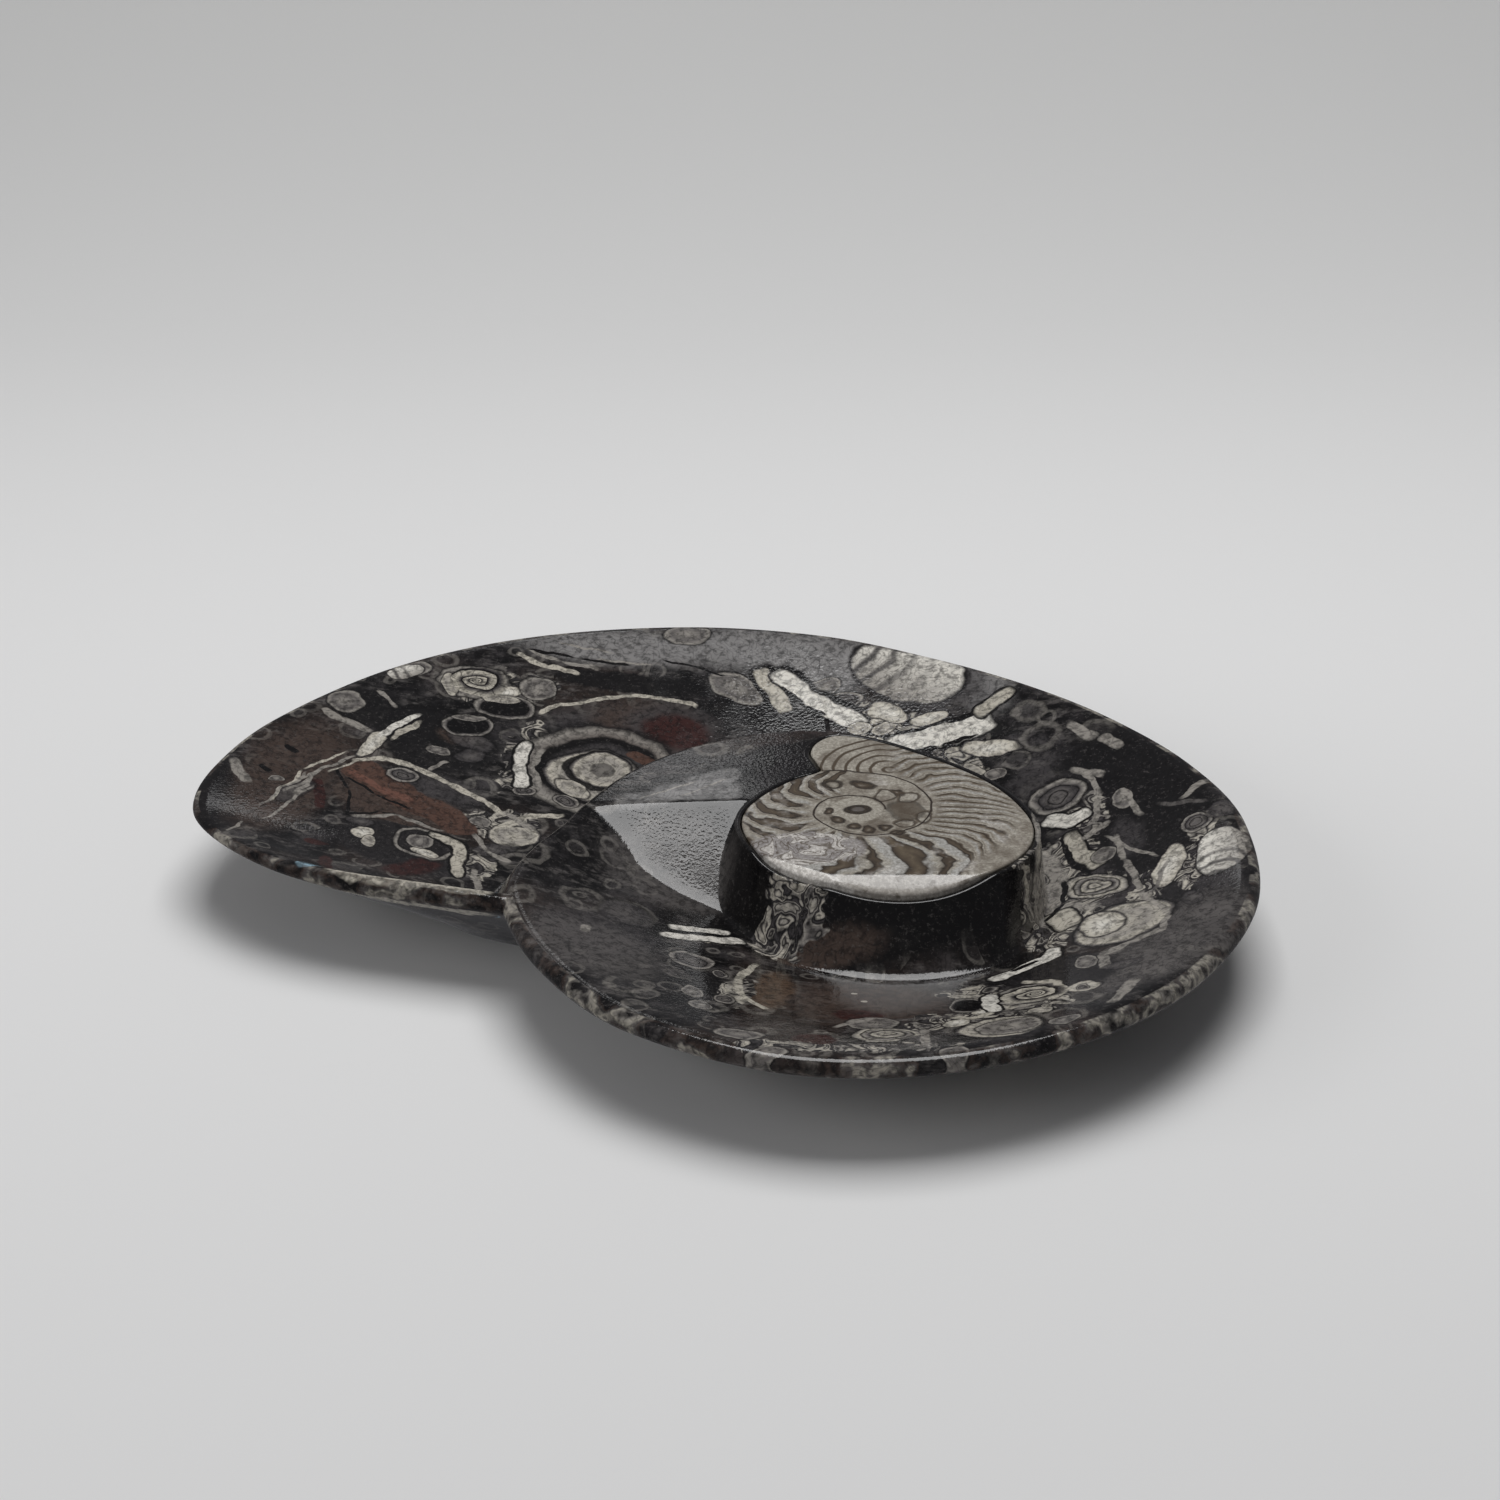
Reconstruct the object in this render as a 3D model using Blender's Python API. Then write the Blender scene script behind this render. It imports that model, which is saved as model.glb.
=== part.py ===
"""A polished fossil dish in the shape of an ammonite, with a real ammonite set in its middle.

The dish is one slab of black fossil limestone. Its rim is a spiral that starts at the set
ammonite's mouth, runs once round the dish, and ends as the lip of a tongue on the left. One
channel is ground out along that spiral. It starts at a ramp on the left, passes the front,
the right and the back of the pedestal, and opens out in the tongue. The ammonite is a ground
disc that sits in a pocket in the top of the pedestal.

Metres, +Z up. The dish stands on z = 0 with the middle of its outline on the Z axis.
"""
import math

import bmesh
import bpy
import numpy as np

MM = 0.001
NEAR_ZERO = 1e-6

# Heights above the table, in millimetres
FOSSIL_TOP = 21.0
RIM_TOP = 19.5
LAND_TOP = 20.7
CHANNEL_FLOOR = 6.5
POCKET_FLOOR = 14.0

# Rim and walls, in millimetres
RIM_HALF_WIDTH = 1.1
RIM_SHARE = 0.12
RIM_SIDE = [(1.1, 0.15), (1.8, 0.6), (2.2, 1.4), (2.2, 2.4), (1.7, 3.3)]
TIP_THINNESS = 0.55
TIP_THINS_FROM = 85.0
TIP_THINS_TO = 122.0
RIDGE_SLOPE = 1.5
RIDGE_WALL = 7.5
LIP_WIDTH = 1.0
FIT_GAP = 0.3
STEEPEST_NARROW = 0.34
WALL_SHARE = 0.28
CREASE_SHARE = 0.12
CREASE_BLEND = 0.5

# How far the pedestal's wall spreads on its way down, as (degrees, millimetres) from the
# ammonite's mouth onwards
MOUTH_ANGLE = 95.0
PEDESTAL_FLARE = [
    (95, 3.0), (180, 4.4), (225, 4.5), (250, 6.6), (280, 7.0), (308, 6.2), (322, 5.0),
    (338, 2.4), (360, 2.0), (400, 2.4), (455, 3.0),
]

# The ramp at the channel's inner end, left of the ammonite: its top edge is y = RAMP_EDGE
RAMP_EDGE = 5.2
RAMP_SIDE = -10.0
RAMP_ANGLE = math.radians(35.0)

# The facet ground along the ammonite's front: where it starts, and how steeply it falls
FACET_EDGE = -24.6
FACET_ANGLE = math.radians(34.0)
EDGE_CHAMFER = 0.25

# The underside narrows from the rim to a flat foot of the same shape
FOOT_SCALE = 0.62
FOOT_CENTRE = (-15.0, 0.0)
UNDERSIDE_CURVE = 0.9

# The rim's spiral, as (degrees, millimetres) about the ammonite's centre, from its mouth
# at the back, over the left, front, right and back again, to the tip of the tongue
RIM_SPIRAL = [
    (95, 33.9), (110, 36.4), (126, 39.1), (142, 43.0), (158, 47.2), (173, 51.4),
    (182, 55.0), (190, 60.8), (197, 66.0), (205, 70.2), (222, 75.5), (240, 81.1),
    (262, 84.6), (284, 83.4), (309, 80.0), (335, 75.6), (360, 70.8), (380, 67.2),
    (400, 65.4), (418, 66.6), (436, 71.0), (454, 80.2), (472, 91.0), (490, 103.5),
    (505, 113.5), (520, 121.9), (530, 125.6),
]
# The tongue's tip and its lip, as (x, y) about the same centre; the lip ends on the rim
TONGUE_LIP = [
    (-125.5, 6.2), (-120.2, -4.6), (-109.6, -14.4), (-97.0, -20.4), (-82.0, -24.7),
]
NOTCH_ANGLE = 205.0
NOTCH_TWIST = 4.0
TIP_TURNS = (505.0, 548.0)

# The ammonite's outline, as (x, y): down the left side of its mouth, along the older
# whorl on the left, and round the ground front to the right and back to the mouth
FOSSIL_OUTLINE = [
    (-3.4, 31.8), (-7.2, 29.2), (-8.8, 24.6), (-7.6, 20.0), (-7.2, 16.6), (-12.3, 13.0),
    (-17.7, 7.2), (-21.4, 0.6), (-22.0, -6.4), (-19.0, -15.6), (-13.0, -21.8),
    (-5.0, -26.0), (5.0, -27.9), (15.0, -27.0), (24.0, -22.8), (30.4, -15.2),
    (32.4, -6.3), (30.2, 2.8), (25.5, 11.4), (18.4, 19.0), (10.6, 25.2), (3.4, 29.8),
]

# The two stones: colour and roughness after polishing
LIMESTONE_COLOUR = (0.045, 0.043, 0.042)
LIMESTONE_ROUGHNESS = 0.12
AMMONITE_COLOUR = (0.42, 0.37, 0.31)
AMMONITE_ROUGHNESS = 0.15

# How finely the shape is divided
TURN_COLUMNS = 110
RIDGE_COLUMNS = 40
LAND_COLUMNS = 22
TIP_COLUMNS = (14, 31)
RIM_FALL_COLUMNS = 28
RIDGE_BLEND = (-4, 8)
WALL_STEPS = 5
SLOPE_STEPS = 5
UNDERSIDE_STEPS = 5
SHARP_ANGLE = math.radians(25.0)


def clear_scene():
    for item in list(bpy.data.objects):
        bpy.data.objects.remove(item, do_unlink=True)


def polar(angle, radius):
    """Millimetres from degrees and a radius about the ammonite's centre."""
    turn = np.radians(angle)
    return np.stack([np.cos(turn) * radius, np.sin(turn) * radius], axis=-1)


def smooth_line(points, closed, per_span=24):
    """A curve through the points whose tangent at each is taken from its two neighbours."""
    p = np.asarray(points, float)
    if closed:
        p = np.vstack([p[-1], p, p[0], p[1]])
    else:
        p = np.vstack([2 * p[0] - p[1], p, 2 * p[-1] - p[-2]])
    knots = np.concatenate([[0], np.cumsum(np.linalg.norm(np.diff(p, axis=0), axis=1) ** 0.5)])
    tangent = (p[2:] - p[:-2]) / (knots[2:] - knots[:-2])[:, None]
    start, end = p[1:-2], p[2:-1]
    span = (knots[2:-1] - knots[1:-2])[:, None, None]
    t = np.linspace(0, 1, per_span, endpoint=False)[None, :, None]
    curve = ((2 * t**3 - 3 * t**2 + 1) * start[:, None]
             + (t**3 - 2 * t**2 + t) * span * tangent[:-1, None]
             + (3 * t**2 - 2 * t**3) * end[:, None]
             + (t**3 - t**2) * span * tangent[1:, None])
    curve = curve.reshape(-1, 2)
    return np.vstack([curve, p[-2] if not closed else curve[0]])


def lengths(line):
    """The distance along the line to each of its points."""
    steps = np.linalg.norm(np.diff(line, axis=0), axis=1)
    return np.concatenate([[0], np.cumsum(steps)])


def at_length(line, distance):
    run = lengths(line)
    return np.stack([np.interp(distance, run, line[:, i]) for i in (0, 1)], axis=-1)


def outward(line, distance):
    """A closed line moved outwards, the line running anticlockwise."""
    along = np.roll(line, -1, axis=0) - np.roll(line, 1, axis=0)
    along /= np.linalg.norm(along, axis=1)[:, None]
    return line + np.stack([along[:, 1], -along[:, 0]], axis=-1) * distance


def smooth_step(value, low, high):
    t = np.clip((value - low) / (high - low), 0, 1)
    return t * t * (3 - 2 * t)


def smooth_max(a, b, blend):
    return 0.5 * (a + b + np.sqrt((a - b) ** 2 + blend**2))


def rim_line():
    """The whole rim, ending on its own first turn at the notch beside the tongue."""
    angles, radii = np.transpose(RIM_SPIRAL)
    whorl = polar(angles, radii)
    notch = polar(NOTCH_ANGLE, np.interp(NOTCH_ANGLE, angles, radii))
    return smooth_line(np.vstack([whorl, TONGUE_LIP, notch]), closed=False)


def first_length(line, test):
    """The distance along the line to its first point that passes the test."""
    return lengths(line)[np.argmax(test)]


def lay_out_columns():
    """The rim and pedestal points that each column of the top surface joins."""
    rim = rim_line()
    rim_turn = np.degrees(np.unwrap(np.arctan2(rim[:, 1], rim[:, 0])))
    rim_marks = [
        0.0,
        first_length(rim, (rim[:, 0] < RAMP_SIDE) & (rim[:, 1] < RAMP_EDGE)),
        first_length(rim, rim_turn >= NOTCH_ANGLE),
        first_length(rim, rim_turn >= 360 + MOUTH_ANGLE),
        first_length(rim, rim_turn >= TIP_TURNS[0]),
        first_length(rim, rim_turn >= TIP_TURNS[1]),
        lengths(rim)[-1],
    ]
    columns = [0, LAND_COLUMNS, RIDGE_COLUMNS, TURN_COLUMNS]
    columns += [TURN_COLUMNS + count for count in (*TIP_COLUMNS, RIDGE_COLUMNS)]
    rim_at = np.interp(np.arange(columns[-1] + 1), columns, rim_marks)
    rim_points = at_length(rim, rim_at)
    rim_points[-1] = rim_points[RIDGE_COLUMNS]

    fossil = smooth_line(FOSSIL_OUTLINE, closed=True)
    fossil_turn = np.degrees(np.unwrap(np.arctan2(fossil[:, 1], fossil[:, 0])))
    fossil_marks = [
        0.0,
        first_length(fossil, (fossil[:, 0] < RAMP_SIDE) & (fossil[:, 1] < RAMP_EDGE)),
        first_length(fossil, fossil_turn >= NOTCH_ANGLE - NOTCH_TWIST),
        lengths(fossil)[-1],
    ]
    fossil_at = np.interp(np.arange(TURN_COLUMNS), columns[:4], fossil_marks)
    fossil_points = at_length(fossil, fossil_at)
    return rim_points, fossil_points


def facet_height(points):
    """The ground top of the ammonite: level, then falling towards the front."""
    fall = (points[:, 1] - FACET_EDGE) * math.tan(FACET_ANGLE)
    return FOSSIL_TOP + np.minimum(fall, 0)


def wall_width(start, width, ridge):
    """How wide the wall at a column's inner end is: the pedestal's flare, or the ridge's."""
    turn = (math.degrees(math.atan2(start[1], start[0])) - MOUTH_ANGLE) % 360 + MOUTH_ANGLE
    flare = np.interp(turn, *np.transpose(PEDESTAL_FLARE))
    return min(flare + (RIDGE_WALL - flare) * ridge, WALL_SHARE * width)


def station_distances(wall, width):
    """Distances from a column's inner end, close together at the wall, crease and rim."""
    rim = min(RIM_HALF_WIDTH, RIM_SHARE * width)
    down_wall = wall * (np.arange(WALL_STEPS + 1) / WALL_STEPS) ** 2
    reach = width - 2 * rim
    up_slope = np.linspace(wall, reach, SLOPE_STEPS + 1)
    crease = wall + CREASE_SHARE * (up_slope[1] - wall)
    return np.concatenate([down_wall, [crease], up_slope[1:], [width - rim, width]])


def channel_profile(inside, outside, wall_reach, inner_top, rim_top, ridge):
    """Height across the channel: a steep wall, a crease, a straight slope and the rim.

    ridge is 0 where the wall is the pedestal's and 1 where it is the back of the rim's own
    first turn, which falls at a plain slope.
    """
    width = inside[-1]
    depth = min(rim_top - CHANNEL_FLOOR, STEEPEST_NARROW * width)
    slope = depth / max(width - wall_reach, NEAR_ZERO)
    rise = rim_top - slope * np.maximum(outside - RIM_HALF_WIDTH, 0)
    drop = inner_top - rim_top + depth
    pedestal = inner_top - drop * np.sqrt(inside / max(wall_reach, NEAR_ZERO))
    plain = inner_top - RIDGE_SLOPE * np.maximum(inside - RIM_HALF_WIDTH / 2, 0)
    wall = pedestal + (plain - pedestal) * ridge
    height = smooth_max(wall, rise, CREASE_BLEND)
    height[0] = inner_top
    height[-1] = rim_top
    return height


def top_surface(rim, lip, lip_top):
    """Every column's points, from the pedestal or the rim's first turn out to the rim."""
    last = len(rim) - 1
    fall = smooth_step(np.arange(last + 1), 0, RIM_FALL_COLUMNS)
    rim_top = LAND_TOP + (RIM_TOP - LAND_TOP) * fall
    rows = []
    for column in range(last + 1):
        on_pedestal = column < TURN_COLUMNS
        start = lip[column] if on_pedestal else rim[column - TURN_COLUMNS]
        start_top = lip_top[column] if on_pedestal else rim_top[column - TURN_COLUMNS]
        width = np.linalg.norm(rim[column] - start)
        ridge = smooth_step(column - TURN_COLUMNS, *RIDGE_BLEND)
        wall = wall_width(start, width, ridge)
        inside = station_distances(wall, width)
        share = inside / max(width, NEAR_ZERO)
        flat = start + (rim[column] - start) * share[:, None]
        land = start_top + (rim_top[column] - start_top) * share
        if column <= LAND_COLUMNS:
            height = land
        else:
            height = channel_profile(inside, width - inside, wall, start_top,
                                     rim_top[column], ridge)
        if LAND_COLUMNS < column < TURN_COLUMNS // 2:
            ramp = land - (RAMP_EDGE - flat[:, 1]) * math.tan(RAMP_ANGLE)
            height = np.minimum(smooth_max(height, ramp, CREASE_BLEND), land)
        rows.append(np.column_stack([flat, height]))
    return rows


def rim_thickness(edge):
    """How thick the rim is, as a share of RIM_SIDE: it thins towards the tongue's tip."""
    return 1 - (1 - TIP_THINNESS) * smooth_step(-edge[:, 0], TIP_THINS_FROM, TIP_THINS_TO)


class Skin:
    """Collects rings of points and the quads between them, sharing points that coincide."""

    def __init__(self):
        self.mesh = bmesh.new()

    def points(self, coordinates):
        return [self.mesh.verts.new([c * MM for c in point]) for point in coordinates]

    def strip(self, first, second):
        """Quads between two rows of points, or triangles where a row closes to a point."""
        for a, b, c, d in zip(first[:-1], first[1:], second[1:], second[:-1]):
            corners = [v for i, v in enumerate((a, b, c, d)) if v not in (a, b, c, d)[:i]]
            if len(corners) > 2:
                self.mesh.faces.new(corners)

    def ring(self, first, second):
        self.strip(first + first[:1], second + second[:1])

    def cap(self, ring):
        self.mesh.faces.new(ring)

    def finish(self, name, material):
        bmesh.ops.recalc_face_normals(self.mesh, faces=self.mesh.faces)
        bmesh.ops.triangulate(self.mesh, faces=self.mesh.faces)
        data = bpy.data.meshes.new(name)
        self.mesh.to_mesh(data)
        self.mesh.free()
        data.shade_smooth()
        data.set_sharp_from_angle(angle=SHARP_ANGLE)
        data.materials.append(material)
        item = bpy.data.objects.new(name, data)
        bpy.context.scene.collection.objects.link(item)
        return item


def stone(name, colour, roughness):
    material = bpy.data.materials.new(name)
    material.use_nodes = True
    shader = material.node_tree.nodes["Principled BSDF"]
    shader.inputs["Base Color"].default_value = (*colour, 1.0)
    shader.inputs["Roughness"].default_value = roughness
    shader.inputs["Metallic"].default_value = 0.0
    return material


def at_height(line, height):
    return np.column_stack([line, np.broadcast_to(height, len(line))])


def build_plate(rim, fossil, shift):
    """The limestone dish: its top, its rim's side, its underside and the pocket."""
    pocket = outward(fossil, FIT_GAP)
    lip = outward(fossil, FIT_GAP + LIP_WIDTH)
    lip[0] = rim[0]
    lip_top = np.minimum(LAND_TOP, facet_height(lip) - FIT_GAP)
    rows = top_surface(rim, lip, lip_top)

    skin = Skin()
    columns = []
    for column, row in enumerate(rows):
        if column == 0:
            point = skin.points([row[0] + shift])[0]
            columns.append([point] * len(row))
        elif column == len(rows) - 1:
            columns.append([columns[column - TURN_COLUMNS][-1]] * len(row))
        elif column < TURN_COLUMNS:
            columns.append(skin.points(row + shift))
        else:
            inner = columns[column - TURN_COLUMNS][-1]
            columns.append([inner] + skin.points(row[1:] + shift))
    for first, second in zip(columns[:-1], columns[1:]):
        skin.strip(first, second)

    edge = rim[RIDGE_COLUMNS:-1]
    above = [column[-1] for column in columns[RIDGE_COLUMNS:-1]]
    edge_top = np.array([row[-1][2] for row in rows[RIDGE_COLUMNS:-1]])
    thickness = rim_thickness(edge)
    for out, down in RIM_SIDE:
        under = outward(edge, out * thickness[:, None])
        under_top = edge_top - down * thickness
        below = skin.points(at_height(under, under_top) + shift)
        skin.ring(above, below)
        above = below
    for step in range(1, UNDERSIDE_STEPS + 1):
        share = step / UNDERSIDE_STEPS
        inward = 1 - (1 - FOOT_SCALE) * share
        line = FOOT_CENTRE + (under - FOOT_CENTRE) * inward
        height = under_top * (1 - share) ** UNDERSIDE_CURVE
        below = skin.points(at_height(line, height) + shift)
        skin.ring(above, below)
        above = below
    skin.cap(above)

    lip_ring = [column[0] for column in columns[:TURN_COLUMNS]]
    pocket_top = skin.points(at_height(pocket, lip_top) + shift)
    pocket_floor = skin.points(at_height(pocket, POCKET_FLOOR) + shift)
    skin.ring(lip_ring, pocket_top)
    skin.ring(pocket_top, pocket_floor)
    skin.cap(pocket_floor)
    material = stone("black_limestone", LIMESTONE_COLOUR, LIMESTONE_ROUGHNESS)
    return skin.finish("fossil_limestone_dish", material)


def build_ammonite(fossil, shift):
    """The set ammonite: a disc with a level ground top and a facet along its front."""
    skin = Skin()
    heights = [
        (0.0, POCKET_FLOOR + FIT_GAP), (0.0, FOSSIL_TOP - EDGE_CHAMFER),
        (-EDGE_CHAMFER, FOSSIL_TOP),
    ]
    rings = []
    for out, height in heights:
        rings.append(skin.points(at_height(outward(fossil, out), height) + shift))
    skin.cap(rings[0])
    for first, second in zip(rings[:-1], rings[1:]):
        skin.ring(first, second)
    skin.cap(rings[-1])
    mesh = skin.mesh
    cut = bmesh.ops.bisect_plane(
        mesh, geom=mesh.verts[:] + mesh.edges[:] + mesh.faces[:],
        plane_co=(shift + (0, FACET_EDGE, FOSSIL_TOP)) * MM,
        plane_no=(0, -math.sin(FACET_ANGLE), math.cos(FACET_ANGLE)), clear_outer=True)
    edges = [item for item in cut["geom_cut"] if isinstance(item, bmesh.types.BMEdge)]
    bmesh.ops.edgenet_fill(mesh, edges=edges)
    material = stone("polished_ammonite", AMMONITE_COLOUR, AMMONITE_ROUGHNESS)
    return skin.finish("ammonite", material)


def main():
    clear_scene()
    rim, fossil = lay_out_columns()
    edge = rim[RIDGE_COLUMNS:-1]
    widest = max(out for out, down in RIM_SIDE)
    outline = outward(edge, widest * rim_thickness(edge)[:, None])
    middle = (outline.min(axis=0) + outline.max(axis=0)) / 2
    shift = np.array([-middle[0], -middle[1], 0.0])
    build_plate(rim, fossil, shift)
    build_ammonite(fossil, shift)


main()
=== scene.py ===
# %% [markdown]
# # A polished fossil dish with a set ammonite
# The thing is a shallow dish of black limestone full of fossil shells. It is carved in the shape
# of an ammonite, polished to a mirror, and a real ground ammonite is set in its raised middle.
# This lesson makes its fine surfaces, its two stones, the light and the camera. Work starts from
# the plain solids of the dish, which give every size and place.

# %% Load the solids and keep their box
import copy
import math

import bpy
import numpy as np
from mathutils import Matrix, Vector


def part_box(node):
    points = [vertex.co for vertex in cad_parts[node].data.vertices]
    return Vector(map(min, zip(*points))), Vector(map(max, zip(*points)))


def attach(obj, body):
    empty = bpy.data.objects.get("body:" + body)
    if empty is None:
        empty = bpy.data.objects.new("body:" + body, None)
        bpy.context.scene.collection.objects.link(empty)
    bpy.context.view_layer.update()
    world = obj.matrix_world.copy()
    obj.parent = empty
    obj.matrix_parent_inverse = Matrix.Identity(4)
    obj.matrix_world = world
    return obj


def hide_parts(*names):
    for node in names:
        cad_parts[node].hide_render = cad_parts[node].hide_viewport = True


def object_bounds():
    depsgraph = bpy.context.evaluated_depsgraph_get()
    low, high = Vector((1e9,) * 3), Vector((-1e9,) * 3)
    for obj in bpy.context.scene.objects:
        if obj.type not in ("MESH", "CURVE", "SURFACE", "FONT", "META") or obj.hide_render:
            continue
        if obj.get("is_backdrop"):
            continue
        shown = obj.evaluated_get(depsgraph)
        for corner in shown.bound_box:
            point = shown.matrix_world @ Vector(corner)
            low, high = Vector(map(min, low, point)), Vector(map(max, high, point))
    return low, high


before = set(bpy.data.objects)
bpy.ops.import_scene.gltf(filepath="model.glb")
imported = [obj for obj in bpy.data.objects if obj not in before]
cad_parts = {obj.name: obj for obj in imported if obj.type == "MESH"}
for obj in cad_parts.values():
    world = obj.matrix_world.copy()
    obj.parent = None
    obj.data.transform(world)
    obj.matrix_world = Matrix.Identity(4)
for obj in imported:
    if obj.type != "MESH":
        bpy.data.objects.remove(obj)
solids_low, solids_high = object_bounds()
print("nodes:", sorted(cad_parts), "box in mm:", [round(v * 1000, 1) for v in solids_high])

# %% [markdown]
# ## Curves to build on
# Both the rim and the set ammonite's outline are hand-drawn curves. A maker would scratch a few
# points on the slab and join them with one easy sweep. A spline through those points does the
# same here. Its tangent at each point comes from the two neighbours, so no point makes a bump.

# %% Curve helpers, all in millimetres
MM = 0.001
NEAR_ZERO = 1e-6


def polar(angle, radius):
    """Plan points: radius times the cosine and sine of an angle in degrees."""
    turn = np.radians(angle)
    return np.stack([np.cos(turn) * radius, np.sin(turn) * radius], axis=-1)


def smooth_line(points, closed=False, per_span=24):
    """A cubic through the points; each tangent is the chord of its neighbours over their time."""
    p = np.asarray(points, float)
    if closed:
        p = np.vstack([p[-1], p, p[0], p[1]])
    else:
        p = np.vstack([2 * p[0] - p[1], p, 2 * p[-1] - p[-2]])
    knots = np.concatenate([[0], np.cumsum(np.linalg.norm(np.diff(p, axis=0), axis=1) ** 0.5)])
    tangent = (p[2:] - p[:-2]) / (knots[2:] - knots[:-2])[:, None]
    start, end = p[1:-2], p[2:-1]
    span = (knots[2:-1] - knots[1:-2])[:, None, None]
    t = np.linspace(0, 1, per_span, endpoint=False)[None, :, None]
    curve = ((2 * t**3 - 3 * t**2 + 1) * start[:, None]
             + (t**3 - 2 * t**2 + t) * span * tangent[:-1, None]
             + (3 * t**2 - 2 * t**3) * end[:, None]
             + (t**3 - t**2) * span * tangent[1:, None])
    curve = curve.reshape(-1, 2)
    return np.vstack([curve, curve[0] if closed else p[-2]])


def lengths(line):
    """The running sum of the steps between the line's points."""
    return np.concatenate([[0], np.cumsum(np.linalg.norm(np.diff(line, axis=0), axis=1))])


def turned(line):
    """The angle in degrees of each point of the line from +X, counted on over whole turns."""
    return np.degrees(np.unwrap(np.arctan2(line[:, 1], line[:, 0])))


def at_length(line, distance):
    """Points of the line at given distances along it."""
    run = lengths(line)
    return np.stack([np.interp(distance, run, line[:, i]) for i in (0, 1)], axis=-1)


def outward(line, distance):
    """A closed anticlockwise line, each point moved along its outer normal."""
    along = np.roll(line, -1, axis=0) - np.roll(line, 1, axis=0)
    along /= np.linalg.norm(along, axis=1)[:, None]
    return line + np.stack([along[:, 1], -along[:, 0]], axis=-1) * distance


def ease(value, low, high):
    """0 below low, 1 above high, and 3t^2 - 2t^3 between them."""
    t = np.clip((value - low) / (high - low), 0, 1)
    return t * t * (3 - 2 * t)


def rounded_max(a, b, blend):
    """The larger of two heights, its crease rounded: half of a + b + root((a-b)^2 + blend^2)."""
    return 0.5 * (a + b + np.sqrt((a - b) ** 2 + blend**2))


def rounded_fall(distance, start, blend):
    """0 up to start, then distance - start, with a rounded shoulder, and exactly 0 at 0."""
    return rounded_max(distance - start, 0, blend) - rounded_max(-start, 0, blend)


ring = smooth_line(polar(np.arange(0, 360, 45), 10), closed=True)
print("a smooth line through 8 points of a circle strays from its radius of 10 mm by",
      round(float(abs(np.linalg.norm(ring, axis=1) - 10).max()), 2), "mm at most")

# %% [markdown]
# ## The dish's plan
# The rim is one spiral. It leaves the set ammonite's mouth at the back, runs over the left, the
# front and the right, passes behind its own start and ends as the lip of a tongue on the left.
# The plan is written as the angles and radii of that spiral, the way the saw went round it.

# %% Heights, rim and walls of the dish, in millimetres
FOSSIL_TOP = 21.0
RIM_TOP = 19.5
LAND_TOP = 20.7
CHANNEL_FLOOR = 6.5
POCKET_FLOOR = 14.0
FIT_GAP = 0.3
LIP_WIDTH = 1.0
RIM_LEVEL = 1.1
RIM_SHARE = 0.12
RIM_SIDE = [(0, 0), (1.1, 0.15), (1.8, 0.6), (2.2, 1.4), (2.2, 2.4), (1.7, 3.3)]
TIP_THINNESS = 0.55
TIP_THINS = (85.0, 122.0)
RIDGE_SLOPE = 1.5
RIDGE_WALL = 7.5
STEEPEST_NARROW = 0.34
WALL_SHARE = 0.28
FOOT_SCALE = 0.62
FOOT_CENTRE = np.array([-15.0, 0.0])
UNDERSIDE_CURVE = 0.9

MOUTH_ANGLE = 95.0
NOTCH_ANGLE = 205.0
NOTCH_TWIST = 4.0
TIP_TURNS = (505.0, 548.0)
RAMP_EDGE = 5.2
RAMP_SIDE = -10.0
RAMP_SLOPE = math.tan(math.radians(35.0))
FACET_EDGE = -24.6
FACET_SLOPE = math.tan(math.radians(34.0))
FACET_SIDE = np.array([-0.521, -0.853])
FACET_SIDE_EDGE = 23.9

RIM_SPIRAL = [
    (95, 33.9), (110, 36.4), (126, 39.1), (142, 43.0), (158, 47.2), (173, 51.4),
    (182, 55.0), (190, 60.8), (197, 66.0), (205, 70.2), (222, 75.5), (240, 81.1),
    (262, 84.6), (284, 83.4), (309, 80.0), (335, 75.6), (360, 70.8), (380, 67.2),
    (400, 65.4), (418, 66.6), (436, 71.0), (454, 80.2), (472, 91.0), (490, 103.5),
    (505, 113.5), (520, 121.9), (530, 125.6),
]
TONGUE_LIP = [(-125.5, 6.2), (-120.2, -4.6), (-109.6, -14.4), (-97.0, -20.4), (-82.0, -24.7)]
FOSSIL_OUTLINE = [
    (-3.4, 31.8), (-7.2, 29.2), (-8.8, 24.6), (-7.6, 20.0), (-7.2, 16.6), (-12.3, 13.0),
    (-17.7, 7.2), (-21.4, 0.6), (-22.0, -6.4), (-19.0, -15.6), (-13.0, -21.8),
    (-5.0, -26.0), (5.0, -27.9), (15.0, -27.0), (24.0, -22.8), (30.4, -15.2),
    (32.4, -6.3), (30.2, 2.8), (25.5, 11.4), (18.4, 19.0), (10.6, 25.2), (3.4, 29.8),
]
PEDESTAL_FLARE = [
    (95, 3.0), (180, 4.4), (225, 4.7), (250, 7.6), (280, 9.6), (308, 8.2), (322, 5.4),
    (338, 2.4), (360, 2.0), (400, 2.4), (455, 3.0),
]
print("hand-read points: rim", len(RIM_SPIRAL), "tongue", len(TONGUE_LIP), "ammonite",
      len(FOSSIL_OUTLINE))

# %% [markdown]
# The whole top is one ribbon of columns wound round the spiral. A column runs from the pedestal
# out to the rim. After one turn the next column starts on the rim that was laid a turn before,
# so both turns share those points and the ridge between them has no seam.

# %% Where each column of the ribbon starts and ends
SPAN_POINTS = 60
FINER = 6
LAND, RIDGE, TURN, TIP_START, TIP_END, LAST = (FINER * n for n in (22, 40, 110, 124, 141, 150))


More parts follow.
